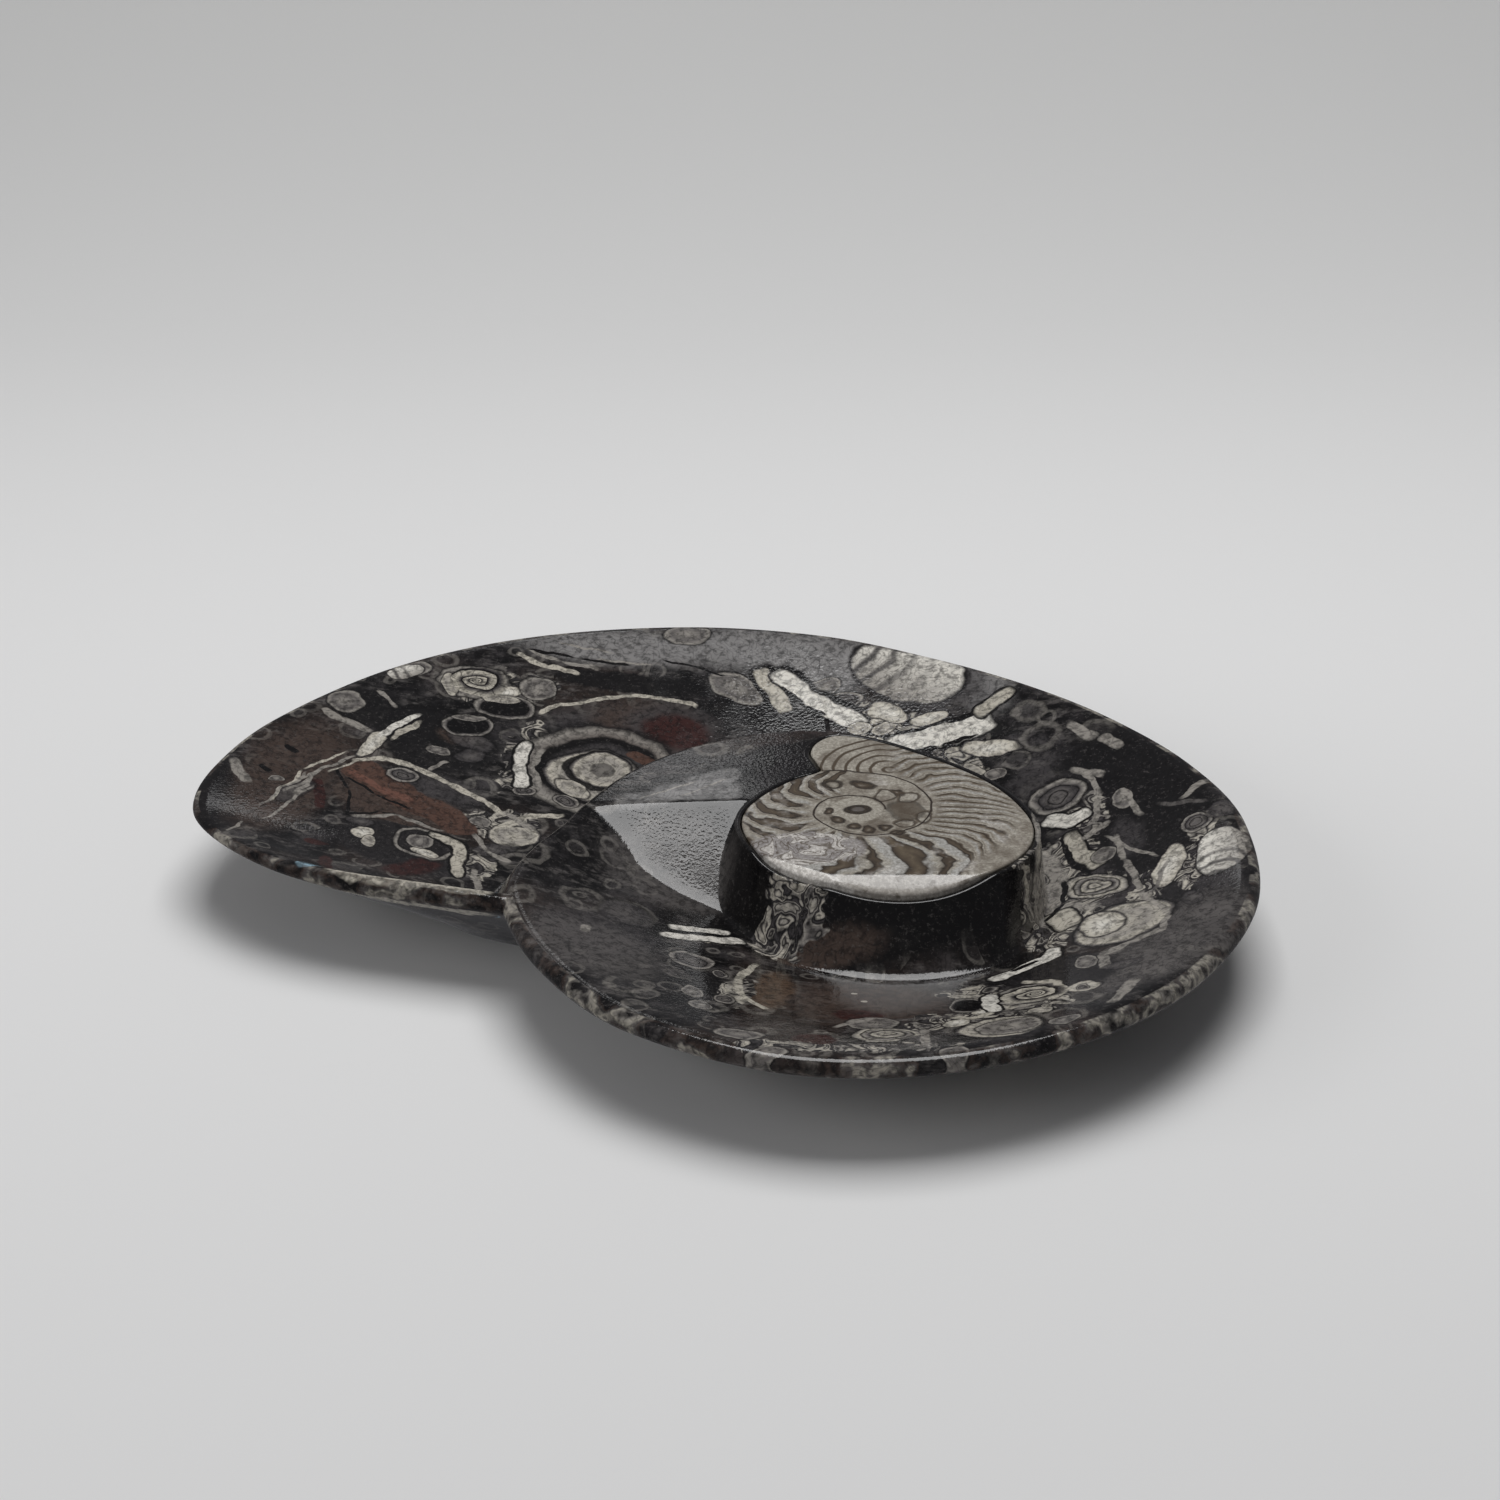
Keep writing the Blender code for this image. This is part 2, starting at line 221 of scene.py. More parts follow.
def first_length(line, test):
    """The distance along the line to its first point that passes the test."""
    return lengths(line)[np.argmax(test)]


def column_ends():
    """Rim points of every column, and the fossil's outline points of the first turn."""
    angles, radii = np.transpose(RIM_SPIRAL)
    notch = polar(NOTCH_ANGLE, np.interp(NOTCH_ANGLE, angles, radii))
    rim = smooth_line(np.vstack([polar(angles, radii), TONGUE_LIP, notch]), per_span=SPAN_POINTS)
    turn = turned(rim)
    rim_marks = [0.0, first_length(rim, (rim[:, 0] < RAMP_SIDE) & (rim[:, 1] < RAMP_EDGE))]
    rim_marks += [first_length(rim, turn >= angle)
                  for angle in (NOTCH_ANGLE, 360 + MOUTH_ANGLE, *TIP_TURNS)]
    rim_marks.append(lengths(rim)[-1])
    at = np.interp(np.arange(LAST + 1), (0, LAND, RIDGE, TURN, TIP_START, TIP_END, LAST), rim_marks)
    rim_points = at_length(rim, at)
    rim_points[-1] = rim_points[RIDGE]

    fossil = smooth_line(FOSSIL_OUTLINE, closed=True, per_span=SPAN_POINTS)
    fossil_marks = [
        0.0, first_length(fossil, (fossil[:, 0] < RAMP_SIDE) & (fossil[:, 1] < RAMP_EDGE)),
        first_length(fossil, turned(fossil) >= NOTCH_ANGLE - NOTCH_TWIST), lengths(fossil)[-1],
    ]
    at = np.interp(np.arange(TURN), (0, LAND, RIDGE, TURN), fossil_marks)
    return rim_points, at_length(fossil, at)


def rim_thickness(edge):
    """The rim's thickness as a share of its side: it eases to TIP_THINNESS at the tip."""
    return 1 - (1 - TIP_THINNESS) * ease(-edge[:, 0], *TIP_THINS)


rim, fossil = column_ends()
rim_edge = rim[RIDGE:-1]
widest = outward(rim_edge, max(out for out, down in RIM_SIDE) * rim_thickness(rim_edge)[:, None])
dish_box = np.array(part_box("fossil_limestone_dish")) / MM
shift = dish_box[:, :2].mean(axis=0) - (widest.min(axis=0) + widest.max(axis=0)) / 2
print("columns:", len(rim), "ammonite's centre in mm:", shift.round(3))

# %% [markdown]
# ## The dish's section
# Across the channel the stone falls down the pedestal's wall, turns in a small fillet and climbs
# to the rim at a steady slope. A grinder leaves every edge a little round, and those round edges
# catch the light, so the creases here have real radii. A bevel modifier could round them too, but
# the formula keeps the widths apart: a wide fillet at the pedestal's foot, a tight ramp edge.

# %% Radii of the dish's edges, in millimetres, and how many stations a column has
FOOT_FILLET = 0.6
WALL_POWER = 0.85
RIDGE_FILLET = 1.6
SHOULDER = 0.9
RAMP_ROUND = 0.3
RAMP_FOOT = 0.8
FACET_ROUND = 0.5
FILLET_GROWS = (4.0, 30.0)
WALL_STEPS, SLOPE_STEPS, RIM_STEPS = 14, 36, 8
SLOPE_GATHER = 1.4
LAND_TO_RIM = 28 * FINER
WALL_TO_RIDGE = (-4 * FINER, 8 * FINER)


def facet_height(points):
    """The set ammonite's ground top: level, and falling outside the edges of two flat facets."""
    front = FACET_EDGE - points[:, 1]
    side = points @ FACET_SIDE - FACET_SIDE_EDGE
    beyond = rounded_max(front, side, FACET_ROUND)
    return FOSSIL_TOP - rounded_max(beyond * FACET_SLOPE, 0, FACET_ROUND)


def station_distances(wall, width):
    """Distances along each column: squares down the wall, a power of SLOPE_GATHER up the slope,
    which gathers the stations at its foot, and even ones on the rim."""
    rim_width = np.minimum(RIM_LEVEL, RIM_SHARE * width)
    down = wall * (np.arange(WALL_STEPS) / WALL_STEPS) ** 2
    share = np.linspace(0, 1, SLOPE_STEPS + 1)[None, :] ** SLOPE_GATHER
    slope = wall + (width - 2 * rim_width - wall) * share
    top = width - 2 * rim_width * np.linspace(1, 0, RIM_STEPS + 1)[None, 1:]
    return np.concatenate([down, slope, top], axis=1)


def channel_height(inside, width, wall, inner_top, rim_top, ridge, fillet):
    """Wall: inner top less its drop times a power of inside / wall, or a plain slope at a ridge.
    Slope: a straight climb that ends level at the rim. The higher of the two, rounded."""
    depth = np.minimum(rim_top - CHANNEL_FLOOR, STEEPEST_NARROW * width)
    rise = rim_top - depth / np.maximum(width - wall, NEAR_ZERO) * rounded_fall(
        width - inside, RIM_LEVEL, SHOULDER)
    pedestal = inner_top - (inner_top - rim_top + depth) * (inside / wall) ** WALL_POWER
    plain = inner_top - RIDGE_SLOPE * rounded_fall(inside, RIM_LEVEL / 2, SHOULDER)
    return rounded_max(pedestal + (plain - pedestal) * ridge, rise, fillet)


def top_surface(rim, lip, lip_top):
    """Points of the ribbon on a grid of column number and station, and the heights there."""
    column = np.arange(LAST + 1)
    rim_top = LAND_TOP + (RIM_TOP - LAND_TOP) * ease(column, 0, LAND_TO_RIM)
    start = np.vstack([lip, rim[:LAST + 1 - TURN]])
    start_top = np.concatenate([lip_top, rim_top[:LAST + 1 - TURN]])[:, None]
    width = np.maximum(np.linalg.norm(rim - start, axis=1), NEAR_ZERO)[:, None]
    ridge = ease(column - TURN, *WALL_TO_RIDGE)[:, None]
    turn = (np.degrees(np.arctan2(start[:, 1], start[:, 0])) - MOUTH_ANGLE) % 360 + MOUTH_ANGLE
    flare = np.interp(turn, *np.transpose(smooth_line(PEDESTAL_FLARE)))[:, None]
    wall = np.minimum(flare + (RIDGE_WALL - flare) * ridge, WALL_SHARE * width)
    inside = station_distances(wall, width)
    share = inside / width
    flat = start[:, None] + (rim - start)[:, None] * share[..., None]
    land = start_top + (rim_top[:, None] - start_top) * share
    fillet = (FOOT_FILLET + (RIDGE_FILLET - FOOT_FILLET) * ridge) * ease(width, *FILLET_GROWS)
    channel = channel_height(inside, width, wall, start_top, rim_top[:, None], ridge, fillet)
    ramp = land - (RAMP_EDGE - flat[..., 1]) * RAMP_SLOPE
    on_ramp = (column < TURN // 2)[:, None]
    carved = np.where(on_ramp & (column > LAND)[:, None],
                      rounded_max(channel, ramp, RAMP_FOOT), np.where(on_ramp, ramp, channel))
    edge_round = RAMP_ROUND * (1 - ease(column, RIDGE, TURN // 2))[:, None]
    height = np.where(on_ramp, land - rounded_max(land - carved, 0, edge_round), channel)
    height[:, 0] = start_top[:, 0]
    height[:, -1] = rim_top
    return np.dstack([flat, height])


print("stations on a column:", WALL_STEPS + SLOPE_STEPS + 1 + RIM_STEPS)

# %% [markdown]
# ## Skins from rows of points
# Every surface here is a table of rows. Two rows that meet share their point numbers, so the
# skin is closed, and a row may shrink to one point at a pole. One function turns any such table
# into triangles and drops those that have shrunk to nothing.

# %% Tables of points to a mesh
def triangles(table):
    """Two triangles for each cell of a table of point numbers, without the shrunken ones."""
    a, b, c, d = table[:-1, :-1], table[:-1, 1:], table[1:, 1:], table[1:, :-1]
    both = np.concatenate([np.stack([a, b, c], -1).reshape(-1, 3),
                           np.stack([a, c, d], -1).reshape(-1, 3)])
    whole = (both[:, 0] != both[:, 1]) & (both[:, 1] != both[:, 2]) & (both[:, 2] != both[:, 0])
    return both[whole]


def numbered(rings, first):
    """Point numbers of closed rings, each row repeating its first number at its end."""
    table = first + np.arange(rings.shape[0] * rings.shape[1]).reshape(rings.shape[:2])
    return np.hstack([table, table[:, :1]])


def piece_from(name, points, faces, side):
    """A shown object from points in millimetres about the ammonite's centre, kept to the
    solids' box, past which its smooth curves would bulge a tenth of a millimetre. Its attribute
    "side" says how far each point is on the rim's outer side, for the stone's shader."""
    used, faces = np.unique(faces, return_inverse=True)
    points = np.clip((points[used] + (*shift, 0)) * MM, solids_low, solids_high)
    faces = faces.reshape(-1, 3)
    mesh = bpy.data.meshes.new(name)
    mesh.vertices.add(len(points))
    mesh.vertices.foreach_set("co", points.astype(np.float32).ravel())
    mesh.loops.add(faces.size)
    mesh.loops.foreach_set("vertex_index", faces.astype(np.int32).ravel())
    mesh.polygons.add(len(faces))
    mesh.polygons.foreach_set("loop_start", np.arange(0, faces.size, 3, dtype=np.int32))
    mesh.update(calc_edges=True)
    mesh.validate()
    mesh.shade_smooth()
    on_side = mesh.attributes.new("side", "FLOAT", "POINT")
    on_side.data.foreach_set("value", side[used].astype(np.float32))
    piece = bpy.data.objects.new(name, mesh)
    bpy.context.scene.collection.objects.link(piece)
    return piece


print("a table of 3 rows of 4 points has", len(triangles(np.arange(12).reshape(3, 4))), "triangles")

# %% [markdown]
# The dish's side is a rounded band, thinner at the tongue's tip. Under it the slab was ground
# away at a slope to a flat foot of the same plan. Both are rings of the rim's own line, so they
# run on from the ribbon's last station, down, inwards and on to the middle of the foot.

# %% Side, underside, pocket and the whole dish
SIDE_SPAN = 4
SIDE_ROWS = SIDE_SPAN * (len(RIM_SIDE) - 1)
UNDERSIDE_RINGS = 14
FOOT_RINGS = 4
POCKET_EDGE = 0.4
FOSSIL_MIDDLE = np.array([4.0, 2.0])


def side_and_underside(edge, edge_top):
    """Rings moved out along the rim's normal and down its side, then scaled to the foot."""
    thickness = rim_thickness(edge)
    rings = []
    for out, down in smooth_line(RIM_SIDE, per_span=SIDE_SPAN)[1:]:
        rings.append(np.column_stack([outward(edge, out * thickness[:, None]),
                                      edge_top - down * thickness]))
    under, under_top = rings[-1][:, :2], rings[-1][:, 2]
    for share in np.linspace(0, 1, UNDERSIDE_RINGS + 1)[1:]:
        line = FOOT_CENTRE + (under - FOOT_CENTRE) * (1 - (1 - FOOT_SCALE) * share)
        rings.append(np.column_stack([line, under_top * (1 - share) ** UNDERSIDE_CURVE]))
    for share in np.linspace(1, 0, FOOT_RINGS + 1)[1:]:
        line = FOOT_CENTRE + (under - FOOT_CENTRE) * FOOT_SCALE * share
        rings.append(np.column_stack([line, 0 * under_top]))
    return np.array(rings)


def make_dish():
    """The ribbon, its side and underside, and the pocket, sharing their border points."""
    lip = outward(fossil, FIT_GAP + LIP_WIDTH)
    lip[0] = rim[0]
    lip_top = np.minimum(LAND_TOP, facet_height(lip) - FIT_GAP)
    top = top_surface(rim, lip, lip_top)
    table = np.arange(top.shape[0] * top.shape[1]).reshape(top.shape[:2])
    table[TURN:, 0] = table[:LAST + 1 - TURN, -1]
    table[0] = table[0, 0]
    table[-1] = table[LAST - TURN, -1]

    below = side_and_underside(rim_edge, top[RIDGE:-1, -1, 2])
    below_table = numbered(below, table.size)
    below_table[-1] = below_table[-1, 0]
    edge_row = np.append(table[RIDGE:-1, -1], table[RIDGE, -1])
    side_table = np.vstack([edge_row, below_table])

    pocket = outward(fossil, FIT_GAP)
    depths = [lip_top, lip_top - POCKET_EDGE, 0 * lip_top + POCKET_FLOOR]
    walls = [np.column_stack([pocket, depth]) for depth in depths]
    walls.append(np.column_stack([0 * pocket + FOSSIL_MIDDLE, depths[-1]]))
    pocket_table = numbered(np.array(walls), table.size + below.shape[0] * below.shape[1])
    pocket_table[-1] = pocket_table[-1, 0]
    lip_row = np.append(table[:TURN, 0], table[0, 0])
    pocket_table = np.vstack([lip_row, pocket_table])[::-1]

    points = np.vstack([part.reshape(-1, 3) for part in (top, below, np.array(walls))])
    faces = np.vstack([triangles(table.T), triangles(side_table), triangles(pocket_table)])
    side = np.zeros(len(points))
    side[table.size:table.size + SIDE_ROWS * below.shape[1]] = 1
    return piece_from("dish_of_fossil_limestone", points, faces[:, ::-1], side)


dish = make_dish()
print("dish:", len(dish.data.vertices), "points,", len(dish.data.polygons), "triangles")

# %% [markdown]
# ## The set ammonite
# It is a real ammonite, ground flat on top until its chambers show, with a second flat ground
# along its front. It stands a hair above the dish, in a pocket that fits it closely. A disc of
# rings about its middle gives a clean edge, and the edge is rounded as the polishing wheel left it.

# %% The ammonite's disc
AMMONITE_COLUMNS = 420
EDGE_ROUND = 0.45
ROUND_STEPS, TOP_RINGS, SIDE_RINGS = 7, 48, 6


def make_ammonite():
    """Rings up the side, round the edge by a quarter circle, then scaled in to the middle."""
    outline = smooth_line(FOSSIL_OUTLINE, closed=True, per_span=SPAN_POINTS)
    steps = np.arange(AMMONITE_COLUMNS) / AMMONITE_COLUMNS
    outline = at_length(outline, steps * lengths(outline)[-1])

    edge_top = facet_height(outline)
    foot = POCKET_FLOOR + FIT_GAP
    rings = [np.column_stack([0 * outline + FOSSIL_MIDDLE, 0 * edge_top + foot])]
    for share in np.linspace(0, 1, SIDE_RINGS):
        rings.append(np.column_stack([outline, foot + (edge_top - EDGE_ROUND - foot) * share]))
    for turn in np.linspace(0, np.pi / 2, ROUND_STEPS)[1:]:
        line = outward(outline, -EDGE_ROUND * (1 - np.cos(turn)))
        rings.append(np.column_stack([line, facet_height(line) - EDGE_ROUND * (1 - np.sin(turn))]))
    inner = rings[-1][:, :2]
    for share in np.linspace(1, 0, TOP_RINGS)[1:]:
        line = FOSSIL_MIDDLE + (inner - FOSSIL_MIDDLE) * share
        rings.append(np.column_stack([line, facet_height(line)]))
    rings = np.array(rings)
    table = numbered(rings, 0)
    table[0] = table[0, 0]
    table[-1] = table[-1, 0]
    points = rings.reshape(-1, 3)
    return piece_from("set_ammonite", points, triangles(table), np.zeros(len(points)))


ammonite = make_ammonite()
print("ammonite:", len(ammonite.data.vertices), "points,", len(ammonite.data.polygons), "triangles")

# %% [markdown]
# ## Writing a stone as sums
# The stones' patterns are made of many nodes, and wiring them by hand hides the idea. One small
# class wraps a socket, so that sums and products of masks read as plain maths. Colours are mixed,
# never added, because a Math node would turn them grey.

# %% The class that wraps a socket
class Field:
    """A value, colour or vector that varies over a stone: one output socket."""

    def __init__(self, socket):
        self.socket = socket

    def node(self, kind, settings, inputs, output=0):
        """Any node in this socket's shader: its settings first, then its values and links."""
        tree = self.socket.id_data
        made = tree.nodes.new(kind)
        for name, value in settings.items():
            if name == "stops":
                lay_stops(made.color_ramp, value)
            else:
                setattr(made, name, value)
        for name, value in inputs.items():
            if isinstance(value, Field):
                tree.links.new(value.socket, made.inputs[name])
            else:
                made.inputs[name].default_value = value
        return Field(made.outputs[output])

    def math(self, operation, *values):
        """A Math node on the values given, of which this one may be any."""
        return self.node("ShaderNodeMath", {"operation": operation}, dict(enumerate(values)))

    def vector(self, operation, *values, output=0):
        """A Vector Math node on this vector and the values given."""
        return self.node("ShaderNodeVectorMath", {"operation": operation},
                         dict(enumerate((self, *values))), output)

    def dot(self, axis):
        return self.vector("DOT_PRODUCT", axis, output=1)

    def length(self):
        return self.vector("LENGTH", output=1)

    def __add__(self, other):
        return self.math("ADD", self, other)

    def __sub__(self, other):
        return self.math("SUBTRACT", self, other)

    def __rsub__(self, other):
        return self.math("SUBTRACT", other, self)

    def __mul__(self, other):
        return self.math("MULTIPLY", self, other)

    def __truediv__(self, other):
        return self.math("DIVIDE", self, other)

    __radd__ = __add__
    __rmul__ = __mul__

    def fraction(self):
        """What is left above the whole number below."""
        return self.math("FRACT", self)

    def away_from(self, value):
        """The distance from a value, never below 0."""
        gap = self - value
        return gap.math("ABSOLUTE", gap)

    def turn(self):
        """The turn of a plan vector from +X, from 0 to 1, by its products with the two axes."""
        angle = self.math("ARCTAN2", self.dot((0, 1, 0)), self.dot((1, 0, 0)))
        return (angle / math.tau).fraction()

    def between(self, low, high, start=0.0, end=1.0):
        """start below low, end above high, eased between; low may be above high."""
        return self.node("ShaderNodeMapRange",
                         {"interpolation_type": "SMOOTHSTEP", "clamp": False},
                         {"Value": self, "From Min": low, "From Max": high,
                          "To Min": start, "To Max": end})

    def along(self, points, span, top):
        """A value on straight lines between (place, value) points, read from a ramp of greys."""
        stops = [(place / span, (value / top,) * 3) for place, value in points]
        return self.node("ShaderNodeValToRGB", {"stops": stops}, {"Fac": self}) * top

    def mix(self, below, above):
        """The colour below where this mask is 0 and the colour above where it is 1."""
        return self.node("ShaderNodeMix", {"data_type": "RGBA"}, {0: self, 6: below, 7: above}, 2)

    def noise(self, size, detail=2.0, rough=0.5, twist=0.0, output=0):
        """Cloudy noise whose lumps are about size millimetres."""
        return self.node("ShaderNodeTexNoise", {},
                         {"Vector": self, "Scale": 1 / size, "Detail": detail,
                          "Roughness": rough, "Distortion": twist}, output)

    def lines(self, count, thin, thick):
        """Thin lines where this value, times count, passes a whole number and a half."""
        return (self * count).fraction().away_from(0.5).between(thick, thin)


def lay_stops(ramp, stops):
    """Colour stops as (place, colour, cover), cover being the ramp's alpha, or 1 if left out."""
    while len(ramp.elements) < len(stops):
        ramp.elements.new(1.0)
    for element, (place, colour, *cover) in zip(ramp.elements, stops):
        element.position = place
        element.color = (*colour[:3], *(cover or [1]))


def paint(red, green, blue):
    """A colour as seen on a screen, 0 to 255, made linear for the shader."""
    seen = np.array([red, green, blue]) / 255
    linear = np.where(seen <= 0.04045, seen / 12.92, ((seen + 0.055) / 1.055) ** 2.4)
    return (*linear.tolist(), 1.0)


def new_stone(name):
    """A material with a Principled shader, and its object coordinates in millimetres."""
    material = bpy.data.materials.new(name)
    material.use_nodes = True
    shader = material.node_tree.nodes["Principled BSDF"]
    coordinates = material.node_tree.nodes.new("ShaderNodeTexCoord")
    place = Field(coordinates.outputs["Object"]).vector("MULTIPLY", (1 / MM,) * 3)
    return material, shader, place


def feed(shader, name, field):
    """Links a field to the shader's input of that name."""
    shader.id_data.links.new(field.socket, shader.inputs[name])


def stirred(place, *waves):
    """The place, moved for each (size, reach) by a noise vector about zero times its reach.
    Each wave is read where the wave before it has moved the place."""
    moved = place
    for size, reach in waves:
        wave = moved.noise(size, detail=1.0, output=1)
        wave = wave.vector("MULTIPLY_ADD", (reach,) * 3, (-reach / 2,) * 3)
        moved = moved.vector("ADD", wave)
    return moved


print("half of white on a screen is", round(paint(128, 128, 128)[0], 3), "of its light")

# %% [markdown]
# ## Sections of shells
# A shell in polished rock shows as an oval, a ring or a coil, because the polished face cuts it.
# So every mark is an oval, read from its centre outwards. A ramp holds its wall, its filling and
# the dark line round it, and a stain is one colour that fades at its edge. A picture would do
# this too, but it would blur near by and stretch on the walls. An oval stays sharp, and one
# shared warp makes every outline uneven.

# %% Colours of the limestone and its fossils
INK = paint(14, 13, 14)
BLACK = paint(24, 23, 24)
SOOT = paint(38, 36, 37)
SLATE = paint(66, 63, 64)
GREY = paint(100, 96, 94)
PALE = paint(154, 149, 142)
CREAM = paint(190, 184, 171)
WHITE = paint(222, 218, 209)
SALMON = paint(112, 79, 68)
RUST = paint(86, 64, 55)
MAROON = paint(58, 34, 32)
BROWN = paint(72, 60, 54)
OCHRE = paint(92, 74, 60)
# Painted reflection: the pale grey below stands for the light mirrored in the polished back slope and the
# land, not for a colour of the stone.
PAINTED_REFLECTION = paint(138, 136, 135)
CHIP = paint(138, 166, 180)
print("light of the darkest and the palest stone:", round(INK[0], 4), round(WHITE[0], 3))

# %% How each kind of section looks from its middle to its edge
# A list holds a ramp's stops, as (place, colour, cover). Three values are a plain stain: its
# colour, how far out it is solid, and its cover.
LOOKS = {
    "white": [(0, WHITE), (0.8, CREAM), (0.86, GREY, 0.9), (0.91, INK, 0.9), (1, INK, 0)],
    "cream": [(0, CREAM), (0.5, PALE), (0.8, CREAM), (0.86, GREY, 0.9), (0.91, INK, 0.9), (1, INK, 0)],
    "pale": [(0, PALE, 0.9), (0.6, GREY, 0.9), (0.82, PALE, 0.9), (0.9, BLACK, 0.9), (1, BLACK, 0)],
    "grey": [(0, GREY, 0.85), (0.75, SLATE, 0.8), (0.88, INK, 0.6), (1, INK, 0)],
    "dark": [(0, INK), (0.68, INK), (0.75, GREY, 0.9), (0.83, PALE, 0.9), (0.9, INK, 0.8), (1, INK, 0)],
    "ring": [(0, GREY, 0.9), (0.22, GREY, 0.9), (0.3, INK), (0.36, GREY, 0.9), (0.5, SLATE, 0.9),
             (0.56, INK), (0.62, GREY), (0.76, PALE), (0.84, INK, 0.9), (1, INK, 0)],
    "coil": [(0, GREY), (0.14, CREAM), (0.2, INK), (0.26, PALE), (0.38, CREAM), (0.44, INK),
             (0.5, GREY), (0.6, PALE), (0.68, INK), (0.74, CREAM), (0.84, PALE, 0.9), (0.9, INK, 0.9),
             (1, INK, 0)],
    "hollow": [(0, INK, 0), (0.68, INK, 0), (0.74, INK, 0.8), (0.8, PALE, 0.9), (0.86, PALE, 0.8),
               (0.92, INK, 0.7), (1, INK, 0)],
    "black": (INK, 0.7, 0.97), "jet": (INK, 0.93, 0.96), "char": (SOOT, 0.8, 0.97),
    # Two plain looks here are light, not stone: the palest grey paints reflection, and the see-through grey
    # paints sheen where it lies on the front slopes.
    "soot": (BLACK, 0.75, 0.95), "slate": (SLATE, 0.5, 0.75), "veil": (GREY, 0.6, 0.55),
    "haze": (PAINTED_REFLECTION, 0.4, 0.88), "brown": (BROWN, 0.5, 0.85), "ochre": (OCHRE, 0.6, 0.85),
    "maroon": (MAROON, 0.7, 0.97), "chip": (CHIP, 0.8, 1.0),
}
STROKES = {
    "white": (WHITE, 0.6, 1.0), "cream": (CREAM, 0.55, 0.97), "pale": (PALE, 0.5, 0.85),
    "grey": (GREY, 0.3, 0.75), "rust": (RUST, 0.75, 0.95), "salmon": (SALMON, 0.5, 0.95),
    "maroon": (MAROON, 0.6, 0.95), "brown": (BROWN, 0.5, 0.85), "black": (INK, 0.6, 1.0),
    # The last stroke look, a pale grey, paints reflection.
    "edge": (INK, 0.85, 0.97), "haze": (PAINTED_REFLECTION, 0.5, 0.55),
}
EDGED = ("white", "cream")
EDGED_FROM, EDGE_EXTRA = 2.0, 0.9
BAR_OVERLAP, BAR_SWELL = 0.7, 1.2


def look_group(name, look, bar):
    """A node group for one kind of section. Its place in an oval's own frame is two products
    and two sums. Its length is read by a ramp, whose cover lays it over the colour below. A
    plain look is one colour, solid out to some share of the oval and then fading. A bar
    squares the frame's axes first, so the oval has straight sides."""
    group = bpy.data.node_groups.new(name, "ShaderNodeTree")
    for socket in ("Flat", "Swapped", "Flat scale", "Swapped scale", "Offset"):
        group.interface.new_socket(socket, socket_type="NodeSocketVector")
    group.interface.new_socket("Under", socket_type="NodeSocketColor")
    group.interface.new_socket("Over", in_out="OUTPUT", socket_type="NodeSocketColor")
    entry = group.nodes.new("NodeGroupInput")
    flat, swapped, flat_scale, swapped_scale, offset, under = (
        Field(entry.outputs[i]) for i in range(6))
    inside = flat.vector("MULTIPLY_ADD", flat_scale,
                         swapped.vector("MULTIPLY_ADD", swapped_scale, offset))
    if bar:
        inside = inside.vector("MULTIPLY", inside)
    if isinstance(look, tuple):
        colour, solid, cover = look
        over = inside.length().between(1.0, solid, 0, cover).mix(under, colour)
    else:
        layer = inside.node("ShaderNodeValToRGB", {"stops": look}, {"Fac": inside.length()})
        over = Field(layer.socket.node.outputs["Alpha"]).mix(under, layer)
    group.links.new(over.socket, group.nodes.new("NodeGroupOutput").inputs[0])
    return group


OVAL_GROUPS = {name: look_group("oval_" + name, look, False) for name, look in LOOKS.items()}
BAR_GROUPS = {name: look_group("bar_" + name, look, True) for name, look in STROKES.items()}
print("kinds of section:", len(OVAL_GROUPS), "ovals and", len(BAR_GROUPS), "bars")

# %% [markdown]
# An oval's own frame is the flat place, turned, moved and squeezed. A turn mixes x with y, so the
# place is kept twice, as (x, y) and as (y, x). Each is scaled and the two are added, which turns
# it with two short sums. A Mapping node would do the same at several times the cost.
# Hundreds of ovals are slow to look through, and most of them are far from any one point. So the
# plan is cut into blocks, and a block of stone holds only the ovals that reach it.

# %% Laying ovals, bars and coils
SHELL_WAVES = ((15.0, 3.4), (4.5, 2.0), (1.2, 0.4))
DRIFT = sum(reach for size, reach in SHELL_WAVES) / 2
COLUMNS, ROWS = (-110, -30, 35, 110), (-110, 0, 110)
MATTER_SPREAD = 1.5


def oval_frame(x, y, length, width, turn=0):
    """The scales of (x, y) and of (y, x), and the offset, of an oval at x, y turned by degrees."""
    c, s = math.cos(math.radians(turn)), math.sin(math.radians(turn))
    wide, high = 2 / length, 2 / width
    return ((c * wide, c * high, 0), (s * wide, -s * high, 0),
            (-(c * x + s * y) * wide, (s * x - c * y) * high, 0))


